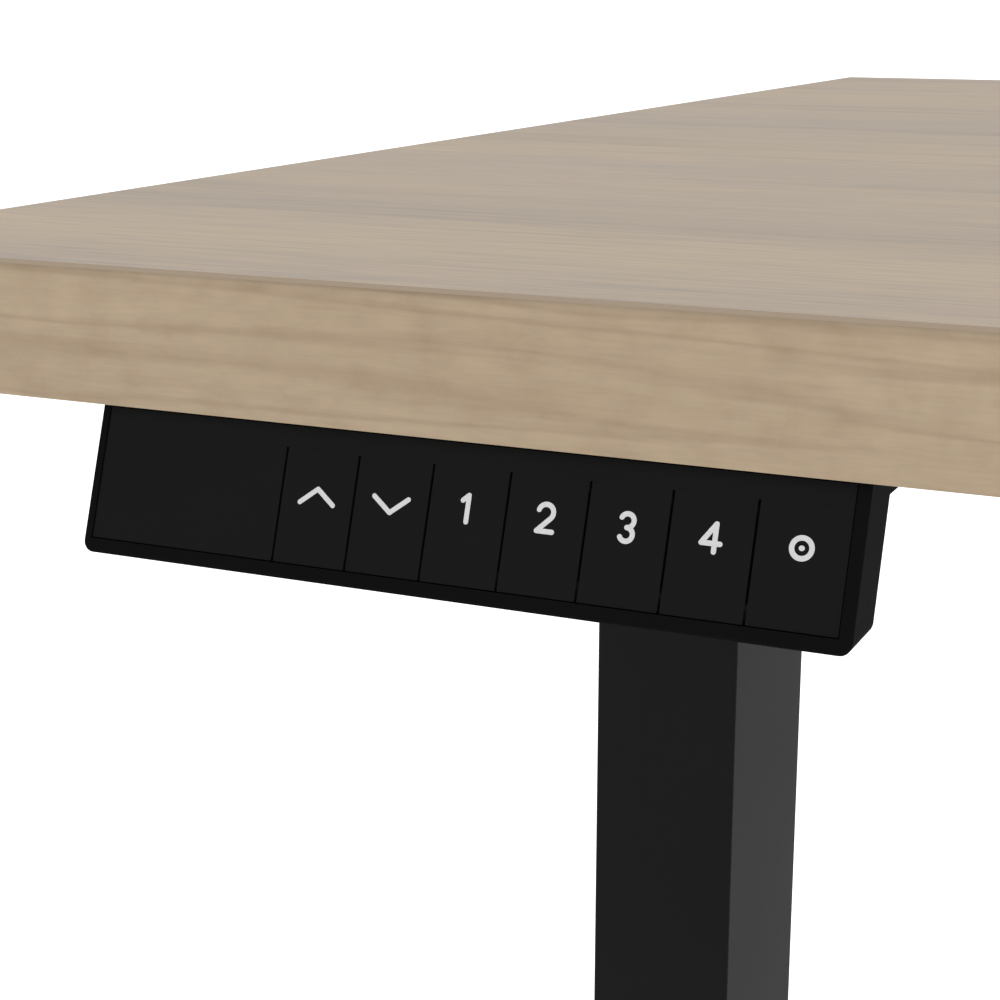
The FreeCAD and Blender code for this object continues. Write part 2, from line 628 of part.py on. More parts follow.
def foot_bolts():
    """Bolts from inside each foot up into the lower tube's base plate."""
    bolts = []
    top_skin = f"({FOOT_TOP} - sizes.foot_wall)"
    for _, sign in SIDES:
        for x, y in four_spots("sizes.foot_bolt_x", "sizes.foot_bolt_y"):
            spot_x = f"{sign} * {COLUMN_X} + {x}"
            head_foot = (spot_x, y, f"{top_skin} - sizes.bolt_head_height")
            head = rod("bolt_head", head_foot, "sizes.bolt_head", "sizes.bolt_head_height")
            grip = "sizes.foot_wall + sizes.base_plate"
            shank = rod("bolt_shank", (spot_x, y, top_skin), "sizes.bolt_radius", grip)
            bolts.append(fuse("foot_bolt", [head, shank]))
    keep(group("foot_bolts", bolts), "foot_bolts")


# ---------------------------------------------------------------- columns

def tube(name, thin, deep, low, high):
    """Rectangular steel tube standing on Z, drawn about its own axis."""
    body = new_body(name)
    wall = "sizes.tube_wall"
    pad(body, rounded(body, thin, deep, "sizes.tube_round", low), f"{high} - {low}")
    bore = rounded(body, f"{thin} - 2 * {wall}", f"{deep} - 2 * {wall}", "sizes.bore_round", low)
    pocket(body, bore, f"{high} - {low}")
    return body


def sleeve(name, thin, deep, high):
    """Glide sleeve round the top of a tube, running inside the next tube."""
    body = new_body(name)
    low = f"({high} - sizes.glide_length)"
    grow = "(sizes.tube_step - 2 * sizes.tube_wall - 2 * sizes.glide_gap)"
    outer_round = f"(sizes.tube_round + {grow} / 2)"
    pad(body, rounded(body, f"{thin} + {grow}", f"{deep} + {grow}", outer_round, low),
        "sizes.glide_length")
    pocket(body, rounded(body, thin, deep, "sizes.tube_round", low), "sizes.glide_length")
    return body


def lower_tube(side, sign):
    """Innermost tube with the base plate welded into its foot end."""
    body = tube(f"{side}_lower_tube", LOWER_THIN, LOWER_DEEP, FOOT_TOP, LOWER_TOP)
    plate_thin = f"({LOWER_THIN} - sizes.tube_wall)"
    plate_deep = f"({LOWER_DEEP} - sizes.tube_wall)"
    plate = polygon(body, "XY_Plane", rectangle(plate_thin, plate_deep), FOOT_TOP)
    pad(body, plate, "sizes.base_plate")
    spots = four_spots("sizes.foot_bolt_x", "sizes.foot_bolt_y")
    threads = circles(body, "XY_Plane", spots, "sizes.bolt_radius + sizes.seat_gap / 2", FOOT_TOP)
    pocket(body, threads, "sizes.base_plate")
    place(body, x=f"{sign} * {COLUMN_X}")
    keep(body, f"{side}_lower_tube")


def lower_glides():
    """Sleeves on the two lower tubes."""
    sleeves = []
    for side, sign in SIDES:
        body = sleeve(f"{side}_lower_glide", LOWER_THIN, LOWER_DEEP, LOWER_TOP)
        sleeves.append(place(body, x=f"{sign} * {COLUMN_X}"))
    keep(group("lower_glides", sleeves), "lower_glides")


def push_tubes():
    """Round tubes on the base plates that carry the lower nuts."""
    pieces = []
    low = f"({FOOT_TOP} + sizes.base_plate)"
    for side, sign in SIDES:
        body = new_body(f"{side}_push_tube")
        length = f"{LOWER_NUT_TOP} - sizes.nut_flange - {low}"
        middle = [("0", "0")]
        pad(body, circles(body, "XY_Plane", middle, "sizes.push_radius", low), length)
        bore = "sizes.push_radius - sizes.push_wall"
        pocket(body, circles(body, "XY_Plane", middle, bore, low), length)
        pieces.append(place(body, x=f"{sign} * {COLUMN_X}"))
    keep(group("push_tubes", pieces), "push_tubes")


def lower_nuts():
    """Flanged nuts in the tops of the push tubes, in which the hollow screws run."""
    pieces = []
    for side, sign in SIDES:
        body = new_body(f"{side}_lower_nut")
        middle = [("0", "0")]
        flange_low = f"({LOWER_NUT_TOP} - sizes.nut_flange)"
        flange = circles(body, "XY_Plane", middle, "sizes.push_radius", flange_low)
        pad(body, flange, "sizes.nut_flange")
        low = f"({LOWER_NUT_TOP} - sizes.lower_nut_height)"
        barrel_radius = "sizes.push_radius - sizes.push_wall - sizes.seat_gap / 2"
        barrel = circles(body, "XY_Plane", middle, barrel_radius, low)
        pad(body, barrel, "sizes.lower_nut_height")
        thread_radius = "sizes.hollow_radius + sizes.thread_gap"
        thread = circles(body, "XY_Plane", middle, thread_radius, low)
        pocket(body, thread, "sizes.lower_nut_height")
        pieces.append(place(body, x=f"{sign} * {COLUMN_X}"))
    keep(group("lower_nuts", pieces), "lower_nuts")


def middle_stage(side, sign):
    """Middle tube, its glide sleeve and the nut block in its top end."""
    body = tube(f"{side}_middle_tube", MIDDLE_THIN, MIDDLE_DEEP, MIDDLE_BOTTOM, MIDDLE_TOP)
    keep(place(body, x=f"{sign} * {COLUMN_X}"), f"{side}_middle_tube")
    glide = sleeve(f"{side}_middle_glide", MIDDLE_THIN, MIDDLE_DEEP, MIDDLE_TOP)
    keep(place(glide, x=f"{sign} * {COLUMN_X}"), f"{side}_middle_glide")

    block = new_body(f"{side}_nut_block")
    low = f"({MIDDLE_TOP} - sizes.nut_block_height)"
    shrink = "(2 * sizes.tube_wall + 2 * sizes.seat_gap)"
    section = rectangle(f"({MIDDLE_THIN} - {shrink})", f"({MIDDLE_DEEP} - {shrink})")
    pad(block, polygon(block, "XY_Plane", section, low), "sizes.nut_block_height")
    round_edges(block, "sizes.tube_round", upright)
    middle = [("0", "0")]
    bearing_radius = "sizes.hollow_collar + sizes.thread_gap"
    bearing = circles(block, "XY_Plane", middle, bearing_radius, low)
    pocket(block, bearing, "sizes.nut_block_height / 2 + sizes.thread_gap")
    thread = circles(block, "XY_Plane", middle, "sizes.drive_radius + sizes.thread_gap", low)
    pocket(block, thread, "sizes.nut_block_height")
    keep(place(block, x=f"{sign} * {COLUMN_X}"), f"{side}_nut_block")


def hexagon(flats):
    """Corners of a regular hexagon, given across its flats."""
    corner = f"({flats} / 2 / cos(30))"
    return [
        (f"{corner} * cos({60 * step})", f"{corner} * sin({60 * step})") for step in range(6)
    ]


def hollow_screw(side, sign):
    """Screw carried by the nut block, with a hexagonal bore for the driver."""
    body = new_body(f"{side}_hollow_screw")
    middle = [("0", "0")]
    low = f"({COLLAR_TOP} - {SCREW_LENGTH})"
    pad(body, circles(body, "XY_Plane", middle, "sizes.hollow_radius", low), SCREW_LENGTH)
    collar_low = f"({COLLAR_TOP} - sizes.collar_height)"
    collar = circles(body, "XY_Plane", middle, "sizes.hollow_collar", collar_low)
    pad(body, collar, "sizes.collar_height")
    flats = "(sizes.driver_flats + 2 * sizes.thread_gap)"
    pocket(body, polygon(body, "XY_Plane", hexagon(flats), low), SCREW_LENGTH)
    keep(place(body, x=f"{sign} * {COLUMN_X}"), f"{side}_hollow_screw")


def drive_screw(side, sign):
    """Screw held by the gearbox, with the hexagonal driver at its lower end."""
    body = new_body(f"{side}_drive_screw")
    low = f"({GEARBOX_BOTTOM} - {SCREW_LENGTH})"
    driver = polygon(body, "XY_Plane", hexagon("sizes.driver_flats"), low)
    pad(body, driver, "sizes.driver_length")
    shaft = circles(body, "XY_Plane", [("0", "0")], "sizes.drive_radius", low)
    pad(body, shaft, f"{SCREW_LENGTH} + sizes.journal_depth")
    keep(place(body, x=f"{sign} * {COLUMN_X}"), f"{side}_drive_screw")


def upper_tube(side, sign):
    """Outer tube, which hangs from the gearbox."""
    body = tube(
        f"{side}_upper_tube", "sizes.upper_thin", "sizes.upper_deep", UPPER_BOTTOM, GEARBOX_BOTTOM
    )
    keep(place(body, x=f"{sign} * {COLUMN_X}"), f"{side}_upper_tube")


# ---------------------------------------------------------------- top frame and drives

def face_inboard(body, side, sign):
    """Put a piece that is drawn for the left column on its own column."""
    if side == "right":
        body.Placement = Placement(Vector(), Rotation(Vector(0, 0, 1), 180))
    return place(body, x=f"{sign} * {COLUMN_X}")


def side_bracket(side, sign):
    """Steel plate along Y under the tabletop, with a flange on its outer edge."""
    body = new_body(f"{side}_side_bracket")
    half_x = "sizes.bracket_width / 2"
    half_y = "sizes.bracket_length / 2"
    chamfer = "sizes.bracket_chamfer"
    plan = [
        (f"-{half_x}", f"-{half_y}"), (f"{half_x} - {chamfer}", f"-{half_y}"),
        (half_x, f"-{half_y} + {chamfer}"), (half_x, f"{half_y} - {chamfer}"),
        (f"{half_x} - {chamfer}", half_y), (f"-{half_x}", half_y),
    ]
    pad(body, polygon(body, "XY_Plane", plan, BRACKET_BOTTOM), "sizes.plate_thick")
    flange_mid = f"-{half_x} + sizes.plate_thick / 2"
    flange = rectangle("sizes.plate_thick", "sizes.bracket_length", flange_mid)
    flange_low = f"{BRACKET_BOTTOM} - sizes.bracket_flange"
    pad(body, polygon(body, "XY_Plane", flange, flange_low), "sizes.bracket_flange")
    screws = [("0", y) for y in BRACKET_SCREWS]
    hole = "sizes.wood_screw_radius + sizes.bolt_gap"
    pocket(body, circles(body, "XY_Plane", screws, hole, BRACKET_BOTTOM), "sizes.plate_thick")
    bolts = four_spots("sizes.head_bolt_x", HEAD_BOLT_Y)
    thread = "sizes.bolt_radius + sizes.seat_gap / 2"
    pocket(body, circles(body, "XY_Plane", bolts, thread, BRACKET_BOTTOM), "sizes.plate_thick")
    keep(face_inboard(body, side, sign), f"{side}_side_bracket")


def frame_end(side, sign):
    """Head plate over a column with the two outer rails welded under it."""
    body = new_body(f"{side}_frame_end")
    half_thin = "sizes.upper_thin / 2"
    plate = rectangle("sizes.upper_thin", f"(2 * ({HEAD_BOLT_Y} + sizes.head_edge))")
    pad(body, polygon(body, "XY_Plane", plate, HEAD_BOTTOM), "sizes.plate_thick")
    for turn in (-1, 1):
        middle_y = f"{turn} * {RAIL_Y}"
        outer = rectangle("sizes.rail_width", "sizes.rail_height", middle_y, RAIL_Z)
        pad(body, polygon(body, "YZ_Plane", outer, f"-{half_thin}"), "sizes.rail_length")
    for turn in (-1, 1):
        middle_y = f"{turn} * {RAIL_Y}"
        inner_width = "(sizes.rail_width - 2 * sizes.rail_wall)"
        inner_height = "(sizes.rail_height - 2 * sizes.rail_wall)"
        inner = rectangle(inner_width, inner_height, middle_y, RAIL_Z)
        pocket(body, polygon(body, "YZ_Plane", inner, f"-{half_thin}"), "sizes.rail_length")
    bolts = four_spots("sizes.head_bolt_x", HEAD_BOLT_Y)
    hole = "sizes.bolt_radius + sizes.bolt_gap"
    pocket(body, circles(body, "XY_Plane", bolts, hole, HEAD_BOTTOM), "sizes.plate_thick")
    screws = four_spots("sizes.head_bolt_x", GEAR_SCREW_Y)
    hole = "sizes.gear_screw_head + sizes.seat_gap / 2"
    pocket(body, circles(body, "XY_Plane", screws, hole, HEAD_BOTTOM), "sizes.plate_thick")
    rail_holes = [(x, f"{turn} * {RAIL_Y}") for x in rail_bolt_x() for turn in (-1, 1)]
    rail_bottom = f"({RAIL_Z} - sizes.rail_height / 2)"
    hole = "sizes.bolt_radius + sizes.bolt_gap"
    pocket(body, circles(body, "XY_Plane", rail_holes, hole, rail_bottom), "sizes.rail_wall")
    keep(face_inboard(body, side, sign), f"{side}_frame_end")


def rail_bolt_x():
    """Bolts through an outer rail into the inner one, from the column axis inboard."""
    rail_end = "(sizes.rail_length - sizes.upper_thin / 2)"
    return [f"{rail_end} - sizes.rail_bolt_inset - {n} * sizes.rail_bolt_pitch" for n in (0, 1)]


def centre_rails():
    """Inner rails that bridge the two frame ends."""
    rails = []
    outer_width = "(sizes.rail_width - 2 * sizes.rail_wall - 2 * sizes.rail_gap)"
    outer_height = "(sizes.rail_height - 2 * sizes.rail_wall - 2 * sizes.rail_gap)"
    wall = "2 * sizes.rail_wall"
    for name, turn in (("front", -1), ("rear", 1)):
        body = new_body(f"{name}_centre_rail")
        middle_y = f"{turn} * {RAIL_Y}"
        outer = rectangle(outer_width, outer_height, middle_y, RAIL_Z)
        profile = polygon(body, "YZ_Plane", outer)
        pad(body, profile, "sizes.centre_rail_length", both_ways=True)
        inner = rectangle(f"({outer_width} - {wall})", f"({outer_height} - {wall})", middle_y, RAIL_Z)
        pocket(body, polygon(body, "YZ_Plane", inner), "sizes.centre_rail_length", both_ways=True)
        spots = []
        for _, sign in SIDES:
            spots += [(f"{sign} * ({COLUMN_X} - {x})", middle_y) for x in rail_bolt_x()]
        thread = "sizes.bolt_radius + sizes.seat_gap / 2"
        wall_low = f"{RAIL_Z} - {outer_height} / 2"
        pocket(body, circles(body, "XY_Plane", spots, thread, wall_low), "sizes.rail_wall")
        rails.append(body)
    keep(group("centre_rails", rails), "centre_rails")


def frame_bolts():
    """Short bolts of the head plates and of the rail joints, all driven from below."""
    bolts = []
    rail_bottom = f"({RAIL_Z} - sizes.rail_height / 2)"
    spots = []
    for _, sign in SIDES:
        for x, y in four_spots("sizes.head_bolt_x", HEAD_BOLT_Y):
            spots.append((f"{sign} * {COLUMN_X} + {x}", y, HEAD_BOTTOM))
        for x in rail_bolt_x():
            for turn in (-1, 1):
                middle_y = f"{turn} * {RAIL_Y}"
                spots.append((f"{sign} * ({COLUMN_X} - {x})", middle_y, rail_bottom))
    for x, y, seat in spots:
        head_foot = (x, y, f"{seat} - sizes.bolt_head_height")
        head = rod("bolt_head", head_foot, "sizes.bolt_head", "sizes.bolt_head_height")
        shank = rod("bolt_shank", (x, y, seat), "sizes.bolt_radius", "2 * sizes.plate_thick")
        bolts.append(fuse("frame_bolt", [head, shank]))
    keep(group("frame_bolts", bolts), "frame_bolts")


def gearbox(side, sign):
    """Sealed gear housing on top of the column, with a socket for the drive screw."""
    body = new_body(f"{side}_gearbox")
    block = rectangle("sizes.upper_thin", "sizes.upper_deep")
    pad(body, polygon(body, "XY_Plane", block, GEARBOX_BOTTOM), "sizes.gearbox_height")
    round_edges(body, "sizes.tube_round", upright)
    shrink = "(2 * sizes.tube_wall + 2 * sizes.seat_gap)"
    collar = rectangle(f"(sizes.upper_thin - {shrink})", f"(sizes.upper_deep - {shrink})")
    collar_low = f"({GEARBOX_BOTTOM} - sizes.spigot_height)"
    pad(body, polygon(body, "XY_Plane", collar, collar_low), "sizes.spigot_height")
    round_edges(
        body,
        "sizes.tube_round",
        lambda edge: upright(edge) and edge.CenterOfMass.z < value(GEARBOX_BOTTOM),
    )
    socket_radius = "sizes.drive_radius + sizes.thread_gap"
    socket = circles(body, "XY_Plane", [("0", "0")], socket_radius, collar_low)
    pocket(body, socket, "sizes.spigot_height + sizes.journal_depth + sizes.stop_gap")
    screws = four_spots("sizes.head_bolt_x", GEAR_SCREW_Y)
    thread = "sizes.gear_screw_radius + sizes.seat_gap / 2"
    low = f"{HEAD_BOTTOM} - sizes.gear_screw_length"
    pocket(body, circles(body, "XY_Plane", screws, thread, low), "sizes.gear_screw_length")
    keep(face_inboard(body, side, sign), f"{side}_gearbox")


def gearbox_screws():
    """Countersunk screws down through the head plates into the gearboxes."""
    screws = []
    for _, sign in SIDES:
        for x, y in four_spots("sizes.head_bolt_x", GEAR_SCREW_Y):
            spot_x = f"{sign} * {COLUMN_X} + {x}"
            head_height = "(sizes.plate_thick - sizes.seat_gap)"
            head = doc.addObject("Part::Cone", "gear_screw_head")
            head.setExpression("Radius1", "sizes.gear_screw_radius")
            head.setExpression("Radius2", "sizes.gear_screw_head")
            head.setExpression("Height", head_height)
            place(head, spot_x, y, HEAD_BOTTOM)
            low = f"{HEAD_BOTTOM} - sizes.gear_screw_length"
            shank = rod("gear_screw_shank", (spot_x, y, low), "sizes.gear_screw_radius",
                        "sizes.gear_screw_length")
            screws.append(fuse("gear_screw", [head, shank]))
    keep(group("gearbox_screws", screws), "gearbox_screws")


def motor(side, sign):
    """Round motor that lies along X on the inboard face of its gearbox."""
    body = new_body(f"{side}_motor")
    near = "sizes.upper_thin / 2"
    axis = [("0", MOTOR_AXIS)]
    pad(body, circles(body, "YZ_Plane", axis, "sizes.motor_radius", near), "sizes.motor_length")
    round_edges(body, "sizes.motor_round", lambda edge: is_far_rim(edge, near))
    far = f"({near} + sizes.motor_length)"
    pad(body, circles(body, "YZ_Plane", axis, "sizes.motor_radius - sizes.motor_cap", far),
        "sizes.motor_cap")
    gland = circles(body, "YZ_Plane", axis, "sizes.gland_radius", f"{far} + sizes.motor_cap")
    pad(body, gland, "sizes.gland_length")
    keep(face_inboard(body, side, sign), f"{side}_motor")


def is_far_rim(edge, near):
    """True for a circular edge beyond the motor's near end."""
    return edge.Curve.TypeId == "Part::GeomCircle" and edge.CenterOfMass.x > value(near) + 1


# ---------------------------------------------------------------- control box and leads

def socket_x(number):
    """Middle of a socket of the control box: -1, 0 or 1 from its middle."""
    return f"(sizes.control_x + {number} * sizes.socket_pitch)"


def control_box():
    """Open topped housing with socket openings, closed by a lid with screw ears."""
    wall = "sizes.control_wall"
    body = new_body("control_box_housing")
    plan = rectangle("sizes.control_width", "sizes.control_depth", "sizes.control_x", "sizes.control_y")
    pad(body, polygon(body, "XY_Plane", plan, CONTROL_BOTTOM), f"sizes.control_height - {wall}")
    round_edges(body, "sizes.control_round", upright)
    inner_width = f"(sizes.control_width - 2 * {wall})"
    inner_depth = f"(sizes.control_depth - 2 * {wall})"
    hollow = rectangle(inner_width, inner_depth, "sizes.control_x", "sizes.control_y")
    floor = f"({CONTROL_BOTTOM} + {wall})"
    pocket(body, polygon(body, "XY_Plane", hollow, floor), "sizes.control_height")
    for number in (-1, 0, 1):
        window = rectangle("(sizes.socket_width + 2 * sizes.seat_gap)",
                           "(sizes.socket_height + 2 * sizes.seat_gap)",
                           socket_x(number), SOCKET_Z)
        opening = polygon(body, "XZ_Plane", window, f"-({CONTROL_FRONT} + {wall} + sizes.overcut)")
        pocket(body, opening, f"{wall} + 2 * sizes.overcut")
    rear = "(sizes.control_y + sizes.control_depth / 2)"
    inlet = rectangle("(sizes.inlet_width + 2 * sizes.seat_gap)",
                      "(sizes.inlet_height + 2 * sizes.seat_gap)", socket_x(1), SOCKET_Z)
    opening = polygon(body, "XZ_Plane", inlet, f"-({rear} + sizes.overcut)")
    pocket(body, opening, f"{wall} + 2 * sizes.overcut")
    keep(body, "control_box_housing")

    lid = new_body("control_box_lid")
    lid_width = "(sizes.control_width + 2 * sizes.control_ear)"
    plan = rectangle(lid_width, "sizes.control_depth", "sizes.control_x", "sizes.control_y")
    lid_low = f"({UNDERSIDE} - {wall})"
    pad(lid, polygon(lid, "XY_Plane", plan, lid_low), wall)
    round_edges(lid, "sizes.ear_round", upright)
    spots = []
    for i in (-1, 1):
        for j in (-1, 1):
            x = f"sizes.control_x + {i} * (sizes.control_width + sizes.control_ear) / 2"
            y = f"sizes.control_y + {j} * (sizes.control_depth / 2 - sizes.control_ear)"
            spots.append((x, y))
    hole = "sizes.wood_screw_radius + sizes.bolt_gap"
    pocket(lid, circles(lid, "XY_Plane", spots, hole, lid_low), wall)
    keep(lid, "control_box_lid")


def control_sockets():
    """Lead sockets in the housing's front wall."""
    sockets = []
    for number in (-1, 0, 1):
        corner = (f"{socket_x(number)} - sizes.socket_width / 2", CONTROL_FRONT,
                  f"{SOCKET_Z} - sizes.socket_height / 2")
        extent = ("sizes.socket_width", "sizes.socket_depth", "sizes.socket_height")
        sockets.append(box("lead_socket", corner, extent))
    keep(group("lead_sockets", sockets), "lead_sockets")


def power_inlet():
    """Mains inlet in the housing's rear wall, with a recess for the plug."""
    body = new_body("power_inlet")
    rear = "(sizes.control_y + sizes.control_depth / 2)"
    block = rectangle("sizes.inlet_width", "sizes.inlet_height", socket_x(1), SOCKET_Z)
    pad(body, polygon(body, "XZ_Plane", block, f"-{rear}"), "sizes.inlet_depth")
    recess = rectangle("sizes.recess_width", "sizes.recess_height", socket_x(1), SOCKET_Z)
    pocket(body, polygon(body, "XZ_Plane", recess, f"-{rear}"), "sizes.recess_depth")
    keep(body, "power_inlet")


def control_board():
    """Circuit board of the control box with its largest components."""
    board_width = "(sizes.control_width - 2 * sizes.board_inset)"
    low = f"({CONTROL_BOTTOM} + sizes.control_wall + sizes.board_lift)"
    corner = (f"sizes.control_x - {board_width} / 2",
              f"{CONTROL_FRONT} + sizes.control_wall + sizes.seat_gap", low)
    depth = "(sizes.control_depth - 2 * sizes.control_wall - 2 * sizes.seat_gap)"
    board = box("board", corner, (board_width, depth, "sizes.board_thick"))
    on_board = f"{low} + sizes.board_thick"
    coil_corner = ("sizes.control_x - sizes.coil_x - sizes.coil_width / 2",
                   "sizes.control_y - sizes.coil_depth / 2", on_board)
    coil_extent = ("sizes.coil_width", "sizes.coil_depth", "sizes.coil_height")
    transformer = box("transformer", coil_corner, coil_extent)
    can_foot = ("sizes.control_x", "sizes.control_y", on_board)
    capacitor = rod("capacitor", can_foot, "sizes.can_radius", "sizes.can_height")
    keep(fuse("control_board", [board, transformer, capacitor]), "control_board")


def lead_wire(points):
    """Straight runs joined by tangent arcs, each as large as its two runs allow."""
    edges = []
    reached = points[0]
    for before, corner, after in zip(points, points[1:], points[2:]):
        arrive = (corner - before).normalize()
        leave = (after - corner).normalize()
        turn = arrive.getAngle(leave)
        setback = 0.45 * min((corner - before).Length, (after - corner).Length)
        radius = setback / math.tan(turn / 2)
        start = corner - arrive * setback
        finish = corner + leave * setback
        inward = (leave - arrive).normalize()
        centre = corner + inward * (radius / math.cos(turn / 2))
        midway = centre - inward * radius
        edges.append(Part.LineSegment(reached, start).toShape())
        edges.append(Part.Arc(start, midway, finish).toShape())
        reached = finish
    edges.append(Part.LineSegment(reached, points[-1]).toShape())
    return Part.Wire(edges)


def lead(name, route):
    """Round lead swept along a route whose points are triples of expressions."""
    points = [Vector(value(x), value(y), value(z)) for x, y, z in route]
    path = lead_wire(points)
    radius = value("sizes.lead_radius")
    ring = Part.Wire(Part.Circle(points[0], (points[1] - points[0]), radius).toShape())
    item = doc.addObject("Part::Feature", name)
    item.Shape = path.makePipeShell([ring], True, False)
    expected = math.pi * radius ** 2 * path.Length
    if abs(item.Shape.Volume - expected) > 0.01 * expected:
        raise RuntimeError(f"{name} has lost its section")
    keep(item, name)


def leads():
    """Motor leads and handset lead, held under the tabletop up to the control box."""
    motor_end = (
        f"({COLUMN_X} - sizes.upper_thin / 2 - sizes.motor_length - sizes.motor_cap"
        " - sizes.gland_length)"
    )
    drop_end = f"({CONTROL_FRONT} - sizes.socket_run)"
    drop_start = f"({drop_end} - sizes.socket_fall)"
    for side, sign in SIDES:
        reach = f"{sign} * {motor_end}"
        lead(f"{side}_motor_lead", [
            (reach, "0", MOTOR_AXIS),
            (f"{reach} - {sign} * sizes.motor_run", "0", MOTOR_AXIS),
            (f"{reach} - {sign} * (sizes.motor_run + sizes.motor_rise)", "0", LEAD_Z),
            (socket_x(sign), "0", LEAD_Z),
            (socket_x(sign), drop_start, LEAD_Z),
            (socket_x(sign), drop_end, SOCKET_Z),
            (socket_x(sign), CONTROL_FRONT, SOCKET_Z),
        ])
    cosine, sine = "cos(sizes.handset_tilt)", "sin(sizes.handset_tilt)"
    exit_y = f"({HANDSET_Y} + {HANDSET_THICK} * {cosine} + sizes.exit_rise * {sine})"
    exit_z = f"({HANDSET_Z} - {HANDSET_THICK} * {sine} + sizes.exit_rise * {cosine})"
    flange_end = f"{FRONT} + sizes.flange_reach"
    lead("handset_lead", [
        (LEAD_X, exit_y, exit_z),
        (LEAD_X, f"{exit_y} + sizes.exit_run * {cosine}", f"{exit_z} - sizes.exit_run * {sine}"),
        (LEAD_X, f"{flange_end} + sizes.flange_pass",
         f"{UNDERSIDE} - sizes.flange_thick - sizes.flange_dip"),
        (LEAD_X, f"{flange_end} + sizes.flange_run", LEAD_Z),
        (LEAD_X, LEAD_Y, LEAD_Z),
        (socket_x(0), LEAD_Y, LEAD_Z),
        (socket_x(0), drop_start, LEAD_Z),
        (socket_x(0), drop_end, SOCKET_Z),
        (socket_x(0), CONTROL_FRONT, SOCKET_Z),
    ])


def lead_clips():
    """Plastic clips that hold the leads to the tabletop's underside."""
    clips = []
    spots = [
        ("-sizes.clip_far", "0", 0), ("-sizes.clip_near", "0", 0), ("sizes.clip_right", "0", 0),
        (LEAD_X, f"({LEAD_Y} - sizes.clip_back)", 90),
        (f"({LEAD_X} + sizes.clip_side)", LEAD_Y, 0), ("-sizes.clip_middle", LEAD_Y, 0),
        (socket_x(0), "0", 90),
    ]
    for x, y, turn in spots:
        body = new_body("lead_clip")
        middle_z = f"{UNDERSIDE} - sizes.clip_height / 2"
        block = rectangle("sizes.clip_width", "sizes.clip_height", "0", middle_z)
        pad(body, polygon(body, "YZ_Plane", block), "sizes.clip_length", both_ways=True)
        bore = circles(body, "YZ_Plane", [("0", LEAD_Z)], "sizes.lead_radius + sizes.seat_gap")
        pocket(body, bore, "sizes.clip_length", both_ways=True)
        body.Placement = Placement(Vector(), Rotation(Vector(0, 0, 1), turn))
        clips.append(place(body, x, y))
    keep(group("lead_clips", clips), "lead_clips")


# ---------------------------------------------------------------- handset

def on_face(item):
    """Tilt a handset piece: its X and Z run in the face, its Y runs into the handset."""
    item.Placement = Placement(Vector(), Rotation(Vector(-1, 0, 0), 1))
    item.setExpression(".Placement.Rotation.Angle", "sizes.handset_tilt")
    return place(item, HANDSET_X, HANDSET_Y, HANDSET_Z)


def slab(body, corners, near, far):
    """Plate parallel to the handset's face, between two depths behind it."""
    return pad(body, polygon(body, "XZ_Plane", corners, f"-({far})"), f"({far}) - ({near})")


def span(left, right, low, high):
    """Corners of a rectangle from its four limits."""
    return [(left, low), (right, low), (right, high), (left, high)]


def handset_case():
    """Handset shell with its mounting flange, open at the face and at the back."""
    tan = "tan(sizes.handset_tilt)"
    outer = new_body("handset_outer")
    back_foot = f"({HANDSET_Y} + sizes.handset_depth)"
    flange_low = f"({UNDERSIDE} - sizes.flange_thick)"
    side_view = [
        (HANDSET_Y, HANDSET_Z), (back_foot, HANDSET_Z),
        (f"{back_foot} + (sizes.handset_drop - sizes.flange_thick) * {tan}", flange_low),
        (f"{FRONT} + sizes.flange_reach", flange_low), (f"{FRONT} + sizes.flange_reach", UNDERSIDE),
        (f"{FRONT} + sizes.handset_setback", UNDERSIDE),
    ]
    pad(outer, polygon(outer, "YZ_Plane", side_view, HANDSET_X), "sizes.handset_width")
    level = value(HANDSET_Z)
    round_edges(outer, "sizes.handset_round", lambda edge: is_foot_side(edge, level))
    slope = value(tan)
    for radius, foot_y in (("sizes.face_round", HANDSET_Y), ("sizes.back_round", back_foot)):
        start = value(foot_y) - level * slope
        round_edges(outer, radius, lambda edge: is_slanted_rim(edge, start, slope))
    reach = f"{FRONT} + sizes.flange_screw_reach"
    far_side = "sizes.handset_width - sizes.flange_screw_inset"
    spots = [(f"{HANDSET_X} + {x}", reach) for x in ("sizes.flange_screw_inset", far_side)]
    hole = "sizes.wood_screw_radius + sizes.bolt_gap"
    pocket(outer, circles(outer, "XY_Plane", spots, hole, flange_low), "sizes.flange_thick")

    cavity = new_body("handset_cavity")
    inner_width = f"{PANEL_RIGHT} - sizes.bezel_side"
    above = "sizes.handset_drop / cos(sizes.handset_tilt) + sizes.overcut"
    profile = [
        ("-sizes.overcut", "sizes.bezel_bottom"), (CAVITY_KNEE, "sizes.bezel_bottom"),
        (CAVITY_BACK, CAVITY_BACK_LOW), (CAVITY_BACK, "sizes.cavity_top"),
        (f"{PANEL_BACK} + sizes.seat_gap", "sizes.cavity_top"),
        (f"{PANEL_BACK} + sizes.seat_gap", above), ("-sizes.overcut", above),
    ]
    pad(cavity, polygon(cavity, "YZ_Plane", profile, "sizes.bezel_side"), inner_width)
    keep(cut("handset_case", outer, on_face(cavity)), "handset_case")


def is_foot_side(edge, level):
    """True for the level edges at the two ends of the handset's foot."""
    return runs_along(edge, Vector(0, 1, 0)) and abs(edge.CenterOfMass.z - level) < 0.01


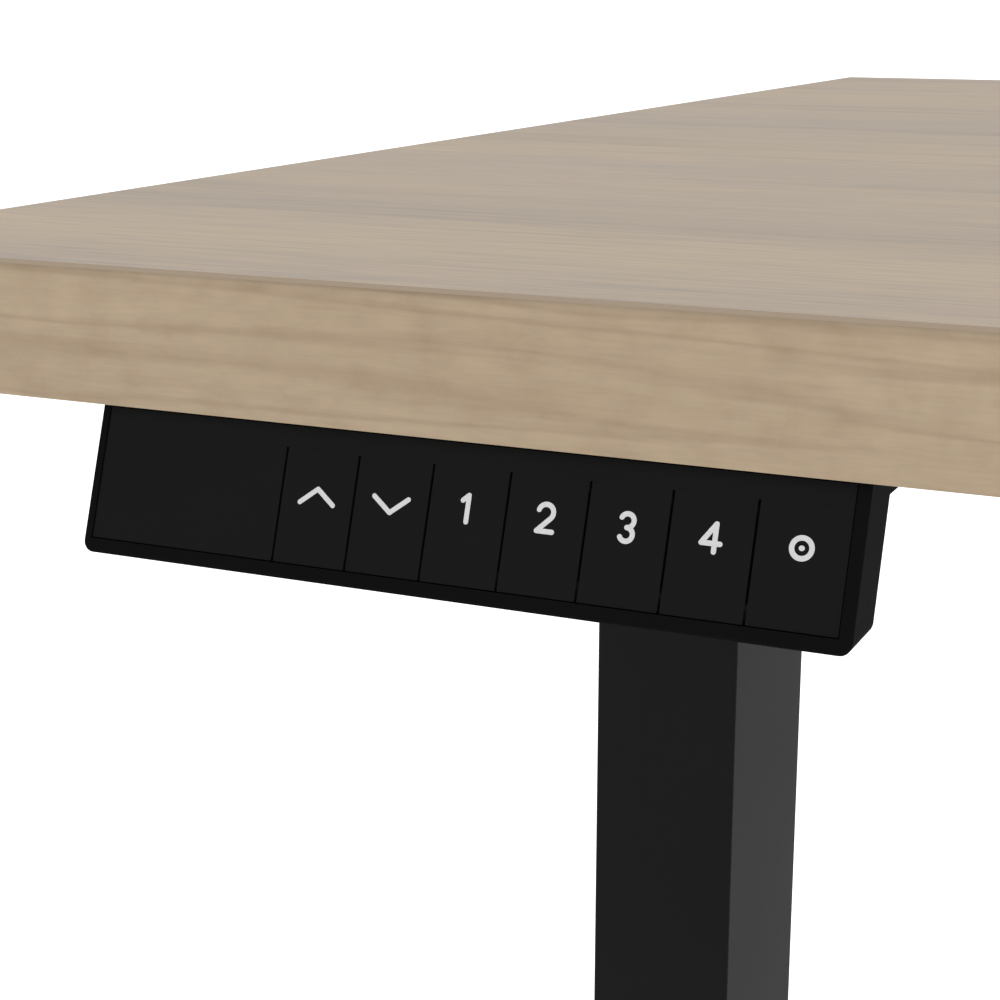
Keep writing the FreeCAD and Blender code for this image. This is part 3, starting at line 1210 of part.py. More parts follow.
def is_slanted_rim(edge, start, slope):
    """True for an edge in the slanted plane y = start + slope * z, but not its level top."""
    points = [edge.valueAt(edge.getParameterByLength(share * edge.Length)) for share in (0, 0.5, 1)]
    in_plane = all(abs(point.y - start - slope * point.z) < 0.01 for point in points)
    top = value(f"{UNDERSIDE} - sizes.flange_thick") - 0.5
    return in_plane and not (runs_along(edge, Vector(1, 0, 0)) and edge.CenterOfMass.z > top)


def handset_back():
    """Plate that snaps into the open back of the handset."""
    body = new_body("handset_back_cover")
    gap = "sizes.seat_gap"
    corners = span(f"sizes.bezel_side + {gap}", f"{PANEL_RIGHT} - {gap}",
                   f"{CAVITY_BACK_LOW} + {gap}", f"sizes.cavity_top - {gap}")
    slab(body, corners, f"{HANDSET_THICK} - sizes.cover_thick", HANDSET_THICK)
    keep(on_face(body), "handset_back_cover")


def key_panel():
    """Face plate: a plain display end and the strip that the keys hang from."""
    body = new_body("key_panel")
    left = "sizes.bezel_side + sizes.seat_gap"
    right = f"{PANEL_RIGHT} - sizes.seat_gap"
    low = "sizes.bezel_bottom + sizes.seat_gap"
    strip = "sizes.key_root + sizes.hinge_gap"
    display_right = f"{KEYS_LEFT} - sizes.groove_width / 2"
    corners = [
        (left, low), (display_right, low), (display_right, strip),
        (right, strip), (right, "sizes.panel_top"), (left, "sizes.panel_top"),
    ]
    slab(body, corners, "sizes.panel_recess", PANEL_BACK)
    keep(on_face(body), "key_panel")


def key_limits(number):
    """Left and right edge of a key, counted from the display end."""
    left = f"{KEYS_LEFT} + {number} * sizes.key_pitch + sizes.groove_width / 2"
    right = f"{KEYS_LEFT} + {number + 1} * sizes.key_pitch - sizes.groove_width / 2"
    if number == len(KEYS) - 1:
        right = f"{PANEL_RIGHT} - sizes.seat_gap"
    return left, right


def keys():
    """Tongue shaped keys, each with a plunger on its back."""
    low = "sizes.bezel_bottom + sizes.seat_gap"
    for number, name in enumerate(KEYS):
        body = new_body(name)
        left, right = key_limits(number)
        slab(body, span(left, right, low, "sizes.key_root"), "sizes.panel_recess", PANEL_BACK)
        middle = f"(({left}) + ({right})) / 2"
        plunger_end = f"({PANEL_BACK} + sizes.plunger_length)"
        plunger = circles(body, "XZ_Plane", [(middle, "sizes.plunger_rise")],
                          "sizes.plunger_radius", f"-{plunger_end}")
        pad(body, plunger, "sizes.plunger_length")
        keep(on_face(body), name)


def handset_board():
    """Circuit board with the display module and one switch behind each key."""
    body = new_body("handset_board")
    board_back = "(sizes.board_depth + sizes.board_thick)"
    corners = span("sizes.bezel_side + sizes.board_edge", f"{PANEL_RIGHT} - sizes.board_edge",
                   CAVITY_BACK_LOW, "sizes.cavity_top - sizes.board_edge")
    slab(body, corners, "sizes.board_depth", board_back)
    display = span("sizes.bezel_side + sizes.display_inset", f"{KEYS_LEFT} - sizes.display_inset",
                   "sizes.bezel_bottom + sizes.display_inset",
                   "sizes.cavity_top - sizes.display_inset")
    slab(body, display, f"{PANEL_BACK} + sizes.seat_gap", "sizes.board_depth")
    for number in range(len(KEYS)):
        left, right = key_limits(number)
        middle = f"((({left}) + ({right})) / 2)"
        switch = rectangle("sizes.switch_size", "sizes.switch_size", middle, "sizes.plunger_rise")
        slab(body, switch, "sizes.switch_front", "sizes.board_depth")
    keep(on_face(body), "handset_board")


# ---------------------------------------------------------------- the whole desk

def write_parts():
    """Check every object, then write one STEP file per sub-part."""
    doc.recompute()
    for item in doc.Objects:
        if {"Invalid", "Error"} & set(item.State):
            raise RuntimeError(f"{item.Label} failed: {item.State}")
    for item in nodes:
        if item.Shape.isNull() or not item.Shape.isValid():
            raise RuntimeError(f"{item.Label} has no valid shape")
    os.makedirs("parts", exist_ok=True)
    for item in nodes:
        item.Shape.exportStep(f"parts/{item.Label}.step")
    print(len(nodes), "sub-parts written")


tabletop()
wood_screws()
for desk_side, side_sign in SIDES:
    foot(desk_side, side_sign)
    lower_tube(desk_side, side_sign)
    middle_stage(desk_side, side_sign)
    hollow_screw(desk_side, side_sign)
    drive_screw(desk_side, side_sign)
    upper_tube(desk_side, side_sign)
    gearbox(desk_side, side_sign)
    motor(desk_side, side_sign)
    frame_end(desk_side, side_sign)
    side_bracket(desk_side, side_sign)
foot_end_caps()
levellers()
foot_bolts()
lower_glides()
push_tubes()
lower_nuts()
centre_rails()
frame_bolts()
gearbox_screws()
control_box()
control_sockets()
power_inlet()
control_board()
leads()
lead_clips()
handset_case()
handset_back()
key_panel()
keys()
handset_board()
write_parts()
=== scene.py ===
# %% [markdown]
# # A height adjustable standing desk
# The desk arrives as a finished mechanical model: every tube, bolt, key and board already has its
# place and size. What is left for Blender is how it looks. This file goes through the desk piece
# by piece. It gives each one a finish made from nodes, and adds the small shapes that a
# mechanical model leaves plain: printed signs, wipers, weld beads, grips, ribs, and dark plates
# that paint the shade in the drive recesses of bolts and screws.

# %% Load the model
import json
import math

import bpy
import numpy as np
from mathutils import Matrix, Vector


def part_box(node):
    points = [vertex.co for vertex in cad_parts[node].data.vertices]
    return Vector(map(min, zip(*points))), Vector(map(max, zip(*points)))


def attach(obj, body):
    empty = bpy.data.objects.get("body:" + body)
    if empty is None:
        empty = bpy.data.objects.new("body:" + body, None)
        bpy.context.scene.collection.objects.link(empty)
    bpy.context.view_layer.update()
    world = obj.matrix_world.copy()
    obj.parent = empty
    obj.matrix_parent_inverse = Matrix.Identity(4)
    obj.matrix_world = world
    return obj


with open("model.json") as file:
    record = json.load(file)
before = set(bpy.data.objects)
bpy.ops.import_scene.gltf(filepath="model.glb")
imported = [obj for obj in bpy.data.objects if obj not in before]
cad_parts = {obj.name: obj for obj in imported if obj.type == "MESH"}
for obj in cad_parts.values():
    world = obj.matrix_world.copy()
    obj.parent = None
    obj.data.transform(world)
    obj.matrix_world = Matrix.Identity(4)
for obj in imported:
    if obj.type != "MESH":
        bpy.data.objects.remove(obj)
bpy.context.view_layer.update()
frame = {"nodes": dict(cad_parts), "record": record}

scene = bpy.context.scene
nodes = frame["nodes"]

# %% [markdown]
# ## The camera
# The desk is looked at from close by, just above its front left corner. A long lens keeps the
# front edge nearly straight. The camera's place is measured from that corner, so it follows the
# desk if its size changes.

# %% Camera
MM = 0.001
LENS, SENSOR = 72.73, 36
FROM_CORNER = Vector((285.1, -290.3, 48.2))
LOOKS_DOWN, TURNED_LEFT = 14.42, 24.965
laminate_low, laminate_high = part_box("top_laminate")
corner = Vector((laminate_low.x, laminate_low.y, laminate_high.z))
camera_data = bpy.data.cameras.new("view")
camera_data.lens = LENS
camera_data.sensor_width = SENSOR
camera_data.clip_start = 10 * MM
camera = bpy.data.objects.new("view", camera_data)
camera.location = corner + FROM_CORNER * MM
camera.rotation_euler = (math.radians(90 - LOOKS_DOWN), 0, math.radians(TURNED_LEFT))
scene.collection.objects.link(camera)
scene.camera = camera
print("camera", [round(c, 3) for c in camera.location])

# %% [markdown]
# ## Floor and light
# The desk stands in a plain white surround, as in a studio. The floor is a very large sheet
# that gives a little light of its own, so that the desk's own shadow hardly greys it. The sky is
# an even soft white, and two large lamps add the direction: the stronger one stands on the
# right, because the right faces of black steel should be brighter than the front ones.

# %% Floor
def shader_tree(name):
    """A new material with an empty tree and its output node."""
    finish = bpy.data.materials.new(name)
    finish.use_nodes = True
    tree = finish.node_tree
    tree.nodes.clear()
    return finish, tree, tree.nodes.new("ShaderNodeOutputMaterial")


def flat_sheet(name, half, height):
    """A square sheet: four corners at plus and minus half, at one height."""
    signs = np.array([(-1, -1), (1, -1), (1, 1), (-1, 1)], float)
    corners = np.column_stack([signs * half, np.full(4, height)])
    mesh = bpy.data.meshes.new(name)
    mesh.from_pydata(corners.tolist(), [], [(0, 1, 2, 3)])
    sheet = bpy.data.objects.new(name, mesh)
    scene.collection.objects.link(sheet)
    return sheet


FLOOR_HALF, FLOOR_DROP = 250.0, 0.5 * MM
FLOOR_GLOW, SKY_GLOW = 0.72, 0.76
floor = flat_sheet("floor", FLOOR_HALF, -FLOOR_DROP)
floor_finish, tree, output = shader_tree("floor_white")
paper = tree.nodes.new("ShaderNodeBsdfPrincipled")
paper.inputs["Base Color"].default_value = (0.86, 0.86, 0.86, 1)
paper.inputs["Roughness"].default_value = 0.9
paper.inputs["Specular IOR Level"].default_value = 0.1
paper.inputs["Emission Color"].default_value = (1, 1, 1, 1)
paper.inputs["Emission Strength"].default_value = FLOOR_GLOW
tree.links.new(paper.outputs["BSDF"], output.inputs["Surface"])
floor.data.materials.append(floor_finish)
print("floor", 2 * FLOOR_HALF, "m wide,", FLOOR_DROP / MM, "mm below the pads")

# %% Sky and lamps
sky = bpy.data.worlds.new("sky")
sky.use_nodes = True
sky.node_tree.nodes["Background"].inputs["Color"].default_value = (1, 1, 1, 1)
sky.node_tree.nodes["Background"].inputs["Strength"].default_value = SKY_GLOW
scene.world = sky


def soft_lamp(name, place, aim, size, watts):
    """A square area lamp of a given size that looks at a point."""
    data = bpy.data.lights.new(name, "AREA")
    data.size = size
    data.energy = watts
    lamp = bpy.data.objects.new(name, data)
    lamp.location = place
    lamp.rotation_euler = (Vector(aim) - Vector(place)).to_track_quat("-Z", "Y").to_euler()
    scene.collection.objects.link(lamp)
    return lamp


soft_lamp("lamp_right", (3.2, -0.6, 1.6), (-0.5, 0, 0.6), 1.8, 24)
soft_lamp("lamp_above", (-0.4, -1.2, 3.2), (-0.3, 0, 0.7), 2.4, 16)
scene.view_settings.view_transform = "Standard"
scene.view_settings.look = "None"

# %% [markdown]
# ## Finishes
# Every finish below is one Principled shader with a few noise textures that read the piece's own
# object coordinates, in metres. A texture's scale is therefore easy to choose: a scale of 600
# gives grains of about a sixth of a centimetre. Values that are the same all over are set on the
# shader itself.

# %% Helpers for node trees
def add(tree, kind, **values):
    """Add a node and set its inputs by name and its properties by attribute."""
    node = tree.nodes.new(kind)
    for key, value in values.items():
        name = key.replace("_", " ").title()
        if hasattr(node, key):
            setattr(node, key, value)
        else:
            node.inputs[name].default_value = value
    return node


def principled(name, color, roughness, specular=0.5, metallic=0.0):
    """A finish of one Principled shader; returns the finish, its tree and the shader."""
    finish, tree, output = shader_tree(name)
    shader = tree.nodes.new("ShaderNodeBsdfPrincipled")
    shader.inputs["Base Color"].default_value = (*color, 1)
    shader.inputs["Roughness"].default_value = roughness
    shader.inputs["Specular IOR Level"].default_value = specular
    shader.inputs["Metallic"].default_value = metallic
    tree.links.new(shader.outputs["BSDF"], output.inputs["Surface"])
    return finish, tree, shader


def stretched(tree, scale):
    """Object coordinates through a Mapping node, which stretches a pattern."""
    place = tree.nodes.new("ShaderNodeTexCoord")
    mapping = add(tree, "ShaderNodeMapping")
    mapping.inputs["Scale"].default_value = scale
    tree.links.new(place.outputs["Object"], mapping.inputs["Vector"])
    return mapping.outputs["Vector"]


def noise(tree, vector, scale=1.0, detail=2.0, roughness=0.5, distortion=0.0):
    """The grey value of a noise texture, from 0 to 1 with 0.5 in the middle."""
    texture = add(tree, "ShaderNodeTexNoise", scale=scale, detail=detail,
                  roughness=roughness, distortion=distortion)
    tree.links.new(vector, texture.inputs["Vector"])
    return texture.outputs["Fac"]


def ramp(tree, factor, stops):
    """A colour ramp; each stop is a position and a grey value or a colour."""
    node = tree.nodes.new("ShaderNodeValToRGB")
    elements = node.color_ramp.elements
    while len(elements) < len(stops):
        elements.new(0.5)
    for element, (position, shade) in zip(elements, stops):
        element.position = position
        color = (shade,) * 3 if isinstance(shade, (int, float)) else shade
        element.color = (*color, 1)
    tree.links.new(factor, node.inputs["Fac"])
    return node.outputs["Color"]


def mixed(tree, factor, first, second, way="MIX"):
    """A colour mix; either colour may be a socket or three numbers, the factor too."""
    node = add(tree, "ShaderNodeMix", data_type="RGBA", blend_type=way)
    sockets = (node.inputs[0], node.inputs[6], node.inputs[7])
    for socket, value in zip(sockets, (factor, first, second)):
        if isinstance(value, bpy.types.NodeSocket):
            tree.links.new(value, socket)
        elif isinstance(value, (int, float)):
            socket.default_value = value
        else:
            socket.default_value = (*value, 1)
    return node.outputs[2]


def rough_between(tree, shader, factor, low, high):
    """Let a noise move the roughness between two values."""
    node = add(tree, "ShaderNodeMapRange")
    node.inputs["To Min"].default_value = low
    node.inputs["To Max"].default_value = high
    tree.links.new(factor, node.inputs["Value"])
    tree.links.new(node.outputs["Result"], shader.inputs["Roughness"])


def bumped(tree, shader, layers):
    """Bump from several heights; each layer is a grey socket and a depth in metres."""
    normal = None
    for height, depth in layers:
        bump = add(tree, "ShaderNodeBump")
        bump.inputs["Strength"].default_value = 1.0
        bump.inputs["Distance"].default_value = depth
        tree.links.new(height, bump.inputs["Height"])
        if normal is not None:
            tree.links.new(normal, bump.inputs["Normal"])
        normal = bump.outputs["Normal"]
    tree.links.new(normal, shader.inputs["Normal"])


# %% [markdown]
# ### Oak laminate on the top
# Printed oak has four scales of pattern, all drawn out along the desk: broad warm and grey
# fields, darker bands a few centimetres wide, streaks about a millimetre across, and pores half
# as wide. One noise texture, stretched by different amounts, gives all four. The cut edge of the
# sheet is a thin brown line, so faces that don't look up or down are browner.

# %% Oak laminate
def oak_laminate():
    """Pale grey oak with streaks along X and a brown cut edge."""
    finish, tree, shader = principled("oak_laminate", (0.47, 0.39, 0.3), 0.5, 0.28)
    fields = noise(tree, stretched(tree, (1.2, 13.0, 1)), detail=2)
    bands = noise(tree, stretched(tree, (1.7, 42.0, 1)), detail=3, distortion=0.3)
    streaks = noise(tree, stretched(tree, (26.0, 950.0, 1)), detail=3, roughness=0.6)
    pores = noise(tree, stretched(tree, (70.0, 2100.0, 1)), detail=1)
    color = ramp(tree, fields, [(0.36, (0.436, 0.356, 0.281)), (0.62, (0.485, 0.389, 0.286))])
    dark_band = ramp(tree, bands, [(0.32, (0.86, 0.865, 0.89)), (0.46, 1.0)])
    color = mixed(tree, 1.0, color, dark_band, "MULTIPLY")
    streak_shade = ramp(tree, streaks, [(0.38, (0.86, 0.875, 0.91)), (0.5, 0.99),
                                        (0.62, (1.09, 1.075, 1.04))])
    color = mixed(tree, 1.0, color, streak_shade, "MULTIPLY")
    pore_shade = ramp(tree, pores, [(0.28, 0.86), (0.44, 1.0)])
    color = mixed(tree, 1.0, color, pore_shade, "MULTIPLY")
    facing = add(tree, "ShaderNodeNewGeometry")
    upward = add(tree, "ShaderNodeSeparateXYZ")
    tree.links.new(facing.outputs["Normal"], upward.inputs["Vector"])
    level = add(tree, "ShaderNodeMath", operation="ABSOLUTE")
    tree.links.new(upward.outputs["Z"], level.inputs[0])
    color = mixed(tree, level.outputs["Value"], (0.3, 0.235, 0.17), color)
    tree.links.new(color, shader.inputs["Base Color"])
    rough_between(tree, shader, streaks, 0.44, 0.58)
    bumped(tree, shader, [(streaks, 0.00003), (pores, 0.000015)])
    return finish


# %% [markdown]
# ### Oak edge band
# The band round the edge is a printed strip of its own: more golden, mottled, with a few thin
# dark growth lines that wander along it. The strip runs along X at the front and along Y at the
# ends, so the pattern reads the sum of X and Y, which grows along every side.

# %% Oak edge band
def along_the_edge(tree, run_scale, height_scale):
    """Coordinates that run along the edge band: X plus Y, and Z, each with its scale."""
    place = tree.nodes.new("ShaderNodeTexCoord")
    parts = add(tree, "ShaderNodeSeparateXYZ")
    tree.links.new(place.outputs["Object"], parts.inputs["Vector"])
    run = add(tree, "ShaderNodeMath", operation="ADD")
    tree.links.new(parts.outputs["X"], run.inputs[0])
    tree.links.new(parts.outputs["Y"], run.inputs[1])
    both = add(tree, "ShaderNodeCombineXYZ")
    tree.links.new(run.outputs["Value"], both.inputs["X"])
    tree.links.new(parts.outputs["Z"], both.inputs["Z"])
    mapping = add(tree, "ShaderNodeMapping")
    mapping.inputs["Scale"].default_value = (run_scale, 1, height_scale)
    tree.links.new(both.outputs["Vector"], mapping.inputs["Vector"])
    return mapping.outputs["Vector"]


# Height in millimetres, below the band's top, over which painted shade stands in for the shade on its
# rounded edge.
PAINTED_SHADE_DEPTH = 1.6


def oak_edge():
    """Golden mottled oak with thin dark lines along the edge, and painted shade along its rounded top
    edge.
    """
    finish, tree, shader = principled("oak_edge", (0.41, 0.31, 0.205), 0.52, 0.25)
    mottle = noise(tree, along_the_edge(tree, 120, 150), detail=5, roughness=0.62)
    fields = noise(tree, along_the_edge(tree, 7, 60), detail=2)
    lines = noise(tree, along_the_edge(tree, 4, 62), detail=5, roughness=0.42, distortion=0.3)
    finer = noise(tree, along_the_edge(tree, 60, 380), detail=3, distortion=0.3)
    pores = noise(tree, along_the_edge(tree, 150, 1800), detail=1)
    color = ramp(tree, fields, [(0.3, (0.356, 0.271, 0.18)), (0.7, (0.387, 0.3, 0.204))])
    mottle_shade = ramp(tree, mottle, [(0.32, (0.925, 0.905, 0.885)), (0.5, 0.99), (0.68, 1.035)])
    color = mixed(tree, 1.0, color, mottle_shade, "MULTIPLY")
    brown, clear = (0.885, 0.86, 0.84), (1.0, 1.0, 1.0)
    line_shade = ramp(tree, lines, [(0.36, clear), (0.4, brown), (0.43, clear),
                                    (0.5, clear), (0.53, brown), (0.55, clear),
                                    (0.62, clear), (0.65, brown), (0.69, clear)])
    color = mixed(tree, 1.0, color, line_shade, "MULTIPLY")
    fine_shade = ramp(tree, finer, [(0.34, (0.965, 0.955, 0.945)), (0.46, 0.99), (0.7, 1.02)])
    color = mixed(tree, 1.0, color, fine_shade, "MULTIPLY")
    pore_shade = ramp(tree, pores, [(0.3, 0.96), (0.6, 1.01)])
    color = mixed(tree, 1.0, color, pore_shade, "MULTIPLY")
    place = tree.nodes.new("ShaderNodeTexCoord")
    parts = add(tree, "ShaderNodeSeparateXYZ")
    tree.links.new(place.outputs["Object"], parts.inputs["Vector"])
    # Painted shade: the colour darkens towards the band's top, where its rounded edge catches less
    # light.
    below = add(tree, "ShaderNodeMapRange")
    band_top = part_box("edge_band")[1].z
    below.inputs["From Min"].default_value = band_top - PAINTED_SHADE_DEPTH * MM
    below.inputs["From Max"].default_value = band_top
    tree.links.new(parts.outputs["Z"], below.inputs["Value"])
    painted_arris_shade = ramp(tree, below.outputs["Result"], [(0.0, 1.0), (0.6, 0.93), (0.82, 0.8), (1.0, 0.74)])
    color = mixed(tree, 1.0, color, painted_arris_shade, "MULTIPLY")
    tree.links.new(color, shader.inputs["Base Color"])
    rough_between(tree, shader, mottle, 0.48, 0.6)
    bumped(tree, shader, [(mottle, 0.00003), (pores, 0.00001)])
    return finish


# %% [markdown]
# ### Raw particle board
# Under the tabletop the board shows its grey brown backing paper over pressed chips.

# %% Board underside
def chip_board():
    """Speckled chips pressed flat, with paler and darker flakes."""
    finish, tree, shader = principled("chip_board", (0.42, 0.34, 0.25), 0.85, 0.15)
    place = stretched(tree, (1, 1, 1))
    flakes = add(tree, "ShaderNodeTexVoronoi", scale=260.0, randomness=1.0)
    tree.links.new(place, flakes.inputs["Vector"])
    spread = noise(tree, place, scale=700, detail=3)
    tone = ramp(tree, flakes.outputs["Color"], [(0.1, (0.33, 0.26, 0.18)), (0.9, (0.47, 0.39, 0.29))])
    grain = ramp(tree, spread, [(0.3, 0.85), (0.7, 1.08)])
    color = mixed(tree, 1.0, tone, grain, "MULTIPLY")
    tree.links.new(color, shader.inputs["Base Color"])
    bumped(tree, shader, [(spread, 0.0001)])
    return finish


# %% [markdown]
# ### Black powder coat
# Powder coat is paint baked on as dust. It is satin, with a fine orange peel a millimetre or
# two across and a finer grain over it. The roughness wanders a little, as it does near welds.

# %% Powder coat
def powder_coat():
    """Satin black with orange peel and fine grain."""
    finish, tree, shader = principled("powder_coat", (0.0091, 0.0091, 0.0092), 0.5, 0.034)
    place = stretched(tree, (1, 1, 1))
    peel = noise(tree, place, scale=650, detail=2)
    grain = noise(tree, place, scale=3200, detail=2)
    wander = noise(tree, place, scale=9, detail=3)
    color = ramp(tree, wander, [(0.3, (0.0085, 0.0085, 0.0086)), (0.7, (0.0098, 0.0098, 0.0099))])
    tree.links.new(color, shader.inputs["Base Color"])
    rough_between(tree, shader, wander, 0.46, 0.56)
    bumped(tree, shader, [(peel, 0.00002), (grain, 0.000008)])
    return finish


# %% [markdown]
# ### Moulded plastics
# The handset's shell has a fine spark eroded texture and is nearly matt. Its key panel is
# smoother and a little lighter. Caps, clips and the control box share a coarser texture.

# %% Moulded plastic
def moulded(name, color, roughness, specular, grain_scale, grain_depth):
    """Plastic with an etched grain; coarser moulds have a lower scale and more depth."""
    finish, tree, shader = principled(name, color, roughness, specular)
    place = stretched(tree, (1, 1, 1))
    grain = noise(tree, place, scale=grain_scale, detail=3, roughness=0.6)
    flow = noise(tree, place, scale=24, detail=2)
    low = tuple(c * 0.93 for c in color)
    high = tuple(c * 1.08 for c in color)
    tone = ramp(tree, flow, [(0.3, low), (0.7, high)])
    tree.links.new(tone, shader.inputs["Base Color"])
    rough_between(tree, shader, grain, roughness - 0.06, roughness + 0.07)
    bumped(tree, shader, [(grain, grain_depth)])
    return finish


# %% [markdown]
# ### Metals
# Zinc plated bolts are bright with cloudy patches. Drawn and turned steel has fine lines along
# or round it. Die cast aluminium is duller, with flow marks.

# %% Metals
def bare_metal(name, color, roughness, line_scale, depth):
    """Bare metal with fine lines; line_scale stretches the noise along the piece's axes."""
    finish, tree, shader = principled(name, color, roughness, 0.5, metallic=1.0)
    lines = noise(tree, stretched(tree, line_scale), detail=3)
    clouds = noise(tree, stretched(tree, (1, 1, 1)), scale=160, detail=3)
    low = tuple(c * 0.82 for c in color)
    high = tuple(min(c * 1.1, 1.0) for c in color)
    tone = ramp(tree, clouds, [(0.3, low), (0.7, high)])
    tree.links.new(tone, shader.inputs["Base Color"])
    rough_between(tree, shader, clouds, roughness - 0.08, roughness + 0.12)
    bumped(tree, shader, [(lines, depth)])
    return finish


# %% [markdown]
# ### Circuit board
# Black solder mask with slightly lighter copper tracks under it. A brick texture with thin
# mortar reads as tracks. A black board keeps the gaps between the keys dark.

# %% Circuit board
def circuit_board():
    """Black solder mask over a pattern of tracks."""
    finish, tree, shader = principled("solder_mask", (0.005, 0.006, 0.005), 0.5, 0.15)
    tracks = add(tree, "ShaderNodeTexBrick", scale=60.0, mortar_size=0.03)
    tree.links.new(stretched(tree, (1, 1, 1)), tracks.inputs["Vector"])
    color = mixed(tree, tracks.outputs["Fac"], (0.004, 0.005, 0.004), (0.008, 0.01, 0.008))
    tree.links.new(color, shader.inputs["Base Color"])
    bumped(tree, shader, [(tracks.outputs["Fac"], 0.00003)])
    return finish


# %% [markdown]
# ### Who wears what
# The mechanical model names a material slot for every piece. One finish is made for each slot,
# and every piece takes the finish of its slot.

# %% Give each node its finish
FINISHES = {
    "top_laminate": oak_laminate(),
    "edge_band": oak_edge(),
    "tabletop_core": chip_board(),
    "frame_black": powder_coat(),
    "foot_cap_plastic": moulded("cap_plastic", (0.013, 0.013, 0.013), 0.6, 0.25, 1400, 0.00004),
    "leveller_rubber": moulded("pad_rubber", (0.02, 0.02, 0.02), 0.8, 0.2, 900, 0.00006),
    "zinc_fasteners": bare_metal("zinc_plate", (0.62, 0.62, 0.6), 0.34, (900, 900, 900), 0.00001),
    "screw_steel": bare_metal("rolled_steel", (0.5, 0.5, 0.5), 0.3, (200, 200, 4000), 0.00001),
    "push_tube_steel": bare_metal("drawn_steel", (0.42, 0.42, 0.42), 0.36, (1500, 1500, 12), 0.00002),
    "nut_plastic": moulded("acetal", (0.72, 0.69, 0.6), 0.45, 0.4, 700, 0.00002),
    "glide_plastic": moulded("nylon", (0.62, 0.62, 0.59), 0.5, 0.4, 700, 0.00002),
    "gearbox_casting": bare_metal("die_casting", (0.13, 0.13, 0.135), 0.52, (420, 420, 420), 0.00006),
    "motor_can": moulded("motor_paint", (0.016, 0.016, 0.017), 0.42, 0.35, 900, 0.00002),
    "control_housing": moulded("box_plastic", (0.014, 0.014, 0.015), 0.6, 0.25, 1100, 0.00006),
    "control_lid": powder_coat(),
    "circuit_board": circuit_board(),
    "socket_plastic": moulded("socket_nylon", (0.75, 0.74, 0.7), 0.45, 0.4, 900, 0.00001),
    "inlet_plastic": moulded("inlet_black", (0.012, 0.012, 0.012), 0.4, 0.4, 900, 0.00002),
    "lead_jacket": moulded("lead_jacket", (0.014, 0.014, 0.014), 0.55, 0.3, 1600, 0.00002),
    "clip_plastic": moulded("clip_plastic", (0.013, 0.013, 0.013), 0.55, 0.3, 1400, 0.00003),
    "handset_plastic": moulded("handset_shell", (0.005, 0.005, 0.005), 0.55, 0.004, 2600, 0.00002),
    "panel_plastic": moulded("key_face", (0.0069, 0.0069, 0.0069), 0.5, 0.042, 4200, 0.000008),
}
slot_of = {part["node"]: part["material_slot"] for part in frame["record"]["subparts"]}
for name, piece in nodes.items():
    finish = FINISHES[slot_of[name]]
    piece.data.materials.clear()
    piece.data.materials.append(finish)
print("finishes", len(FINISHES))

# %% [markdown]
# ## Signs on the keys
# The signs are a white print a few hundredths of a millimetre thick: an up and a down arrow, plain
# numbers for four stored heights, and a ring with a dot for storing one. They are drawn as an
# engraver's round cutter would cut them: straight strokes and arcs of one width with round ends,
# on one height. This is the plainest lettering there is and belongs to no maker.

# %% Helpers for new pieces
def mesh_piece(name, points, faces, body, finish, smooth=False):
    """Put numpy points and faces into a mesh that rides on a body of the desk."""
    mesh = bpy.data.meshes.new(name)
    mesh.from_pydata(np.asarray(points, float).tolist(), [], [tuple(f) for f in faces])
    mesh.validate()
    mesh.update()
    mesh.materials.append(finish)
    if smooth:
        mesh.polygons.foreach_set("use_smooth", np.ones(len(mesh.polygons), bool))
    piece = bpy.data.objects.new(name, mesh)
    scene.collection.objects.link(piece)
    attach(piece, body)
    return piece


def outline(corners, steps=8):
    """A closed 2D line through corners (u, v, radius): the arc at each corner is tangent to
    both of its runs. Returns the points in order."""
    corners = np.asarray(corners, float)
    places, radii = corners[:, :2], corners[:, 2]
    back = np.roll(places, 1, axis=0) - places
    ahead = np.roll(places, -1, axis=0) - places
    back /= np.linalg.norm(back, axis=1)[:, None]
    ahead /= np.linalg.norm(ahead, axis=1)[:, None]
    half = np.arccos(np.clip((back * ahead).sum(1), -1, 1)) / 2
    bisector = (back + ahead) / np.linalg.norm(back + ahead, axis=1)[:, None]
    middle = places + bisector * (radii / np.sin(half))[:, None]
    start = places + back * (radii / np.tan(half))[:, None] - middle
    finish = places + ahead * (radii / np.tan(half))[:, None] - middle
    swing = (math.pi - 2 * half)[:, None, None]
    share = np.linspace(0, 1, steps)[None, :, None]
    arcs = (np.sin((1 - share) * swing) * start[:, None] + np.sin(share * swing) * finish[:, None])
    arcs = middle[:, None] + arcs / np.sin(swing)
    rounded = radii > 0
    return np.vstack([arc if round_it else place[None]
                      for arc, place, round_it in zip(arcs, places, rounded)])


def lifted(line, low, high):
    """A flat plate: a closed line at two heights, walls between them and a face on each.
    Returns points (u, v, height) and faces that look outward."""
    area = np.sum(line[:, 0] * np.roll(line[:, 1], -1) - np.roll(line[:, 0], -1) * line[:, 1])
    if area < 0:
        line = line[::-1]
    count = len(line)
    points = np.vstack([np.column_stack([line, np.full(count, height)]) for height in (low, high)])
    here = np.arange(count)
    after = (here + 1) % count
    walls = np.column_stack([here, after, after + count, here + count]).tolist()
    return points, walls + [here[::-1].tolist(), (here + count).tolist()]


def joined(shapes):
    """Several (points, faces) shapes as one."""
    offset = 0
    all_points, all_faces = [], []
    for points, faces in shapes:
        all_points.append(np.asarray(points, float))
        all_faces += [(np.asarray(face) + offset).tolist() for face in faces]
        offset += len(points)
    return np.vstack(all_points), all_faces


# %% Strokes and signs
def arc(middle, radius, first, last, steps=24):
    """Points on a circle from one angle to another, in degrees."""
    turn = np.radians(np.linspace(first, last, steps))
    return np.column_stack([np.cos(turn), np.sin(turn)]) * radius + middle


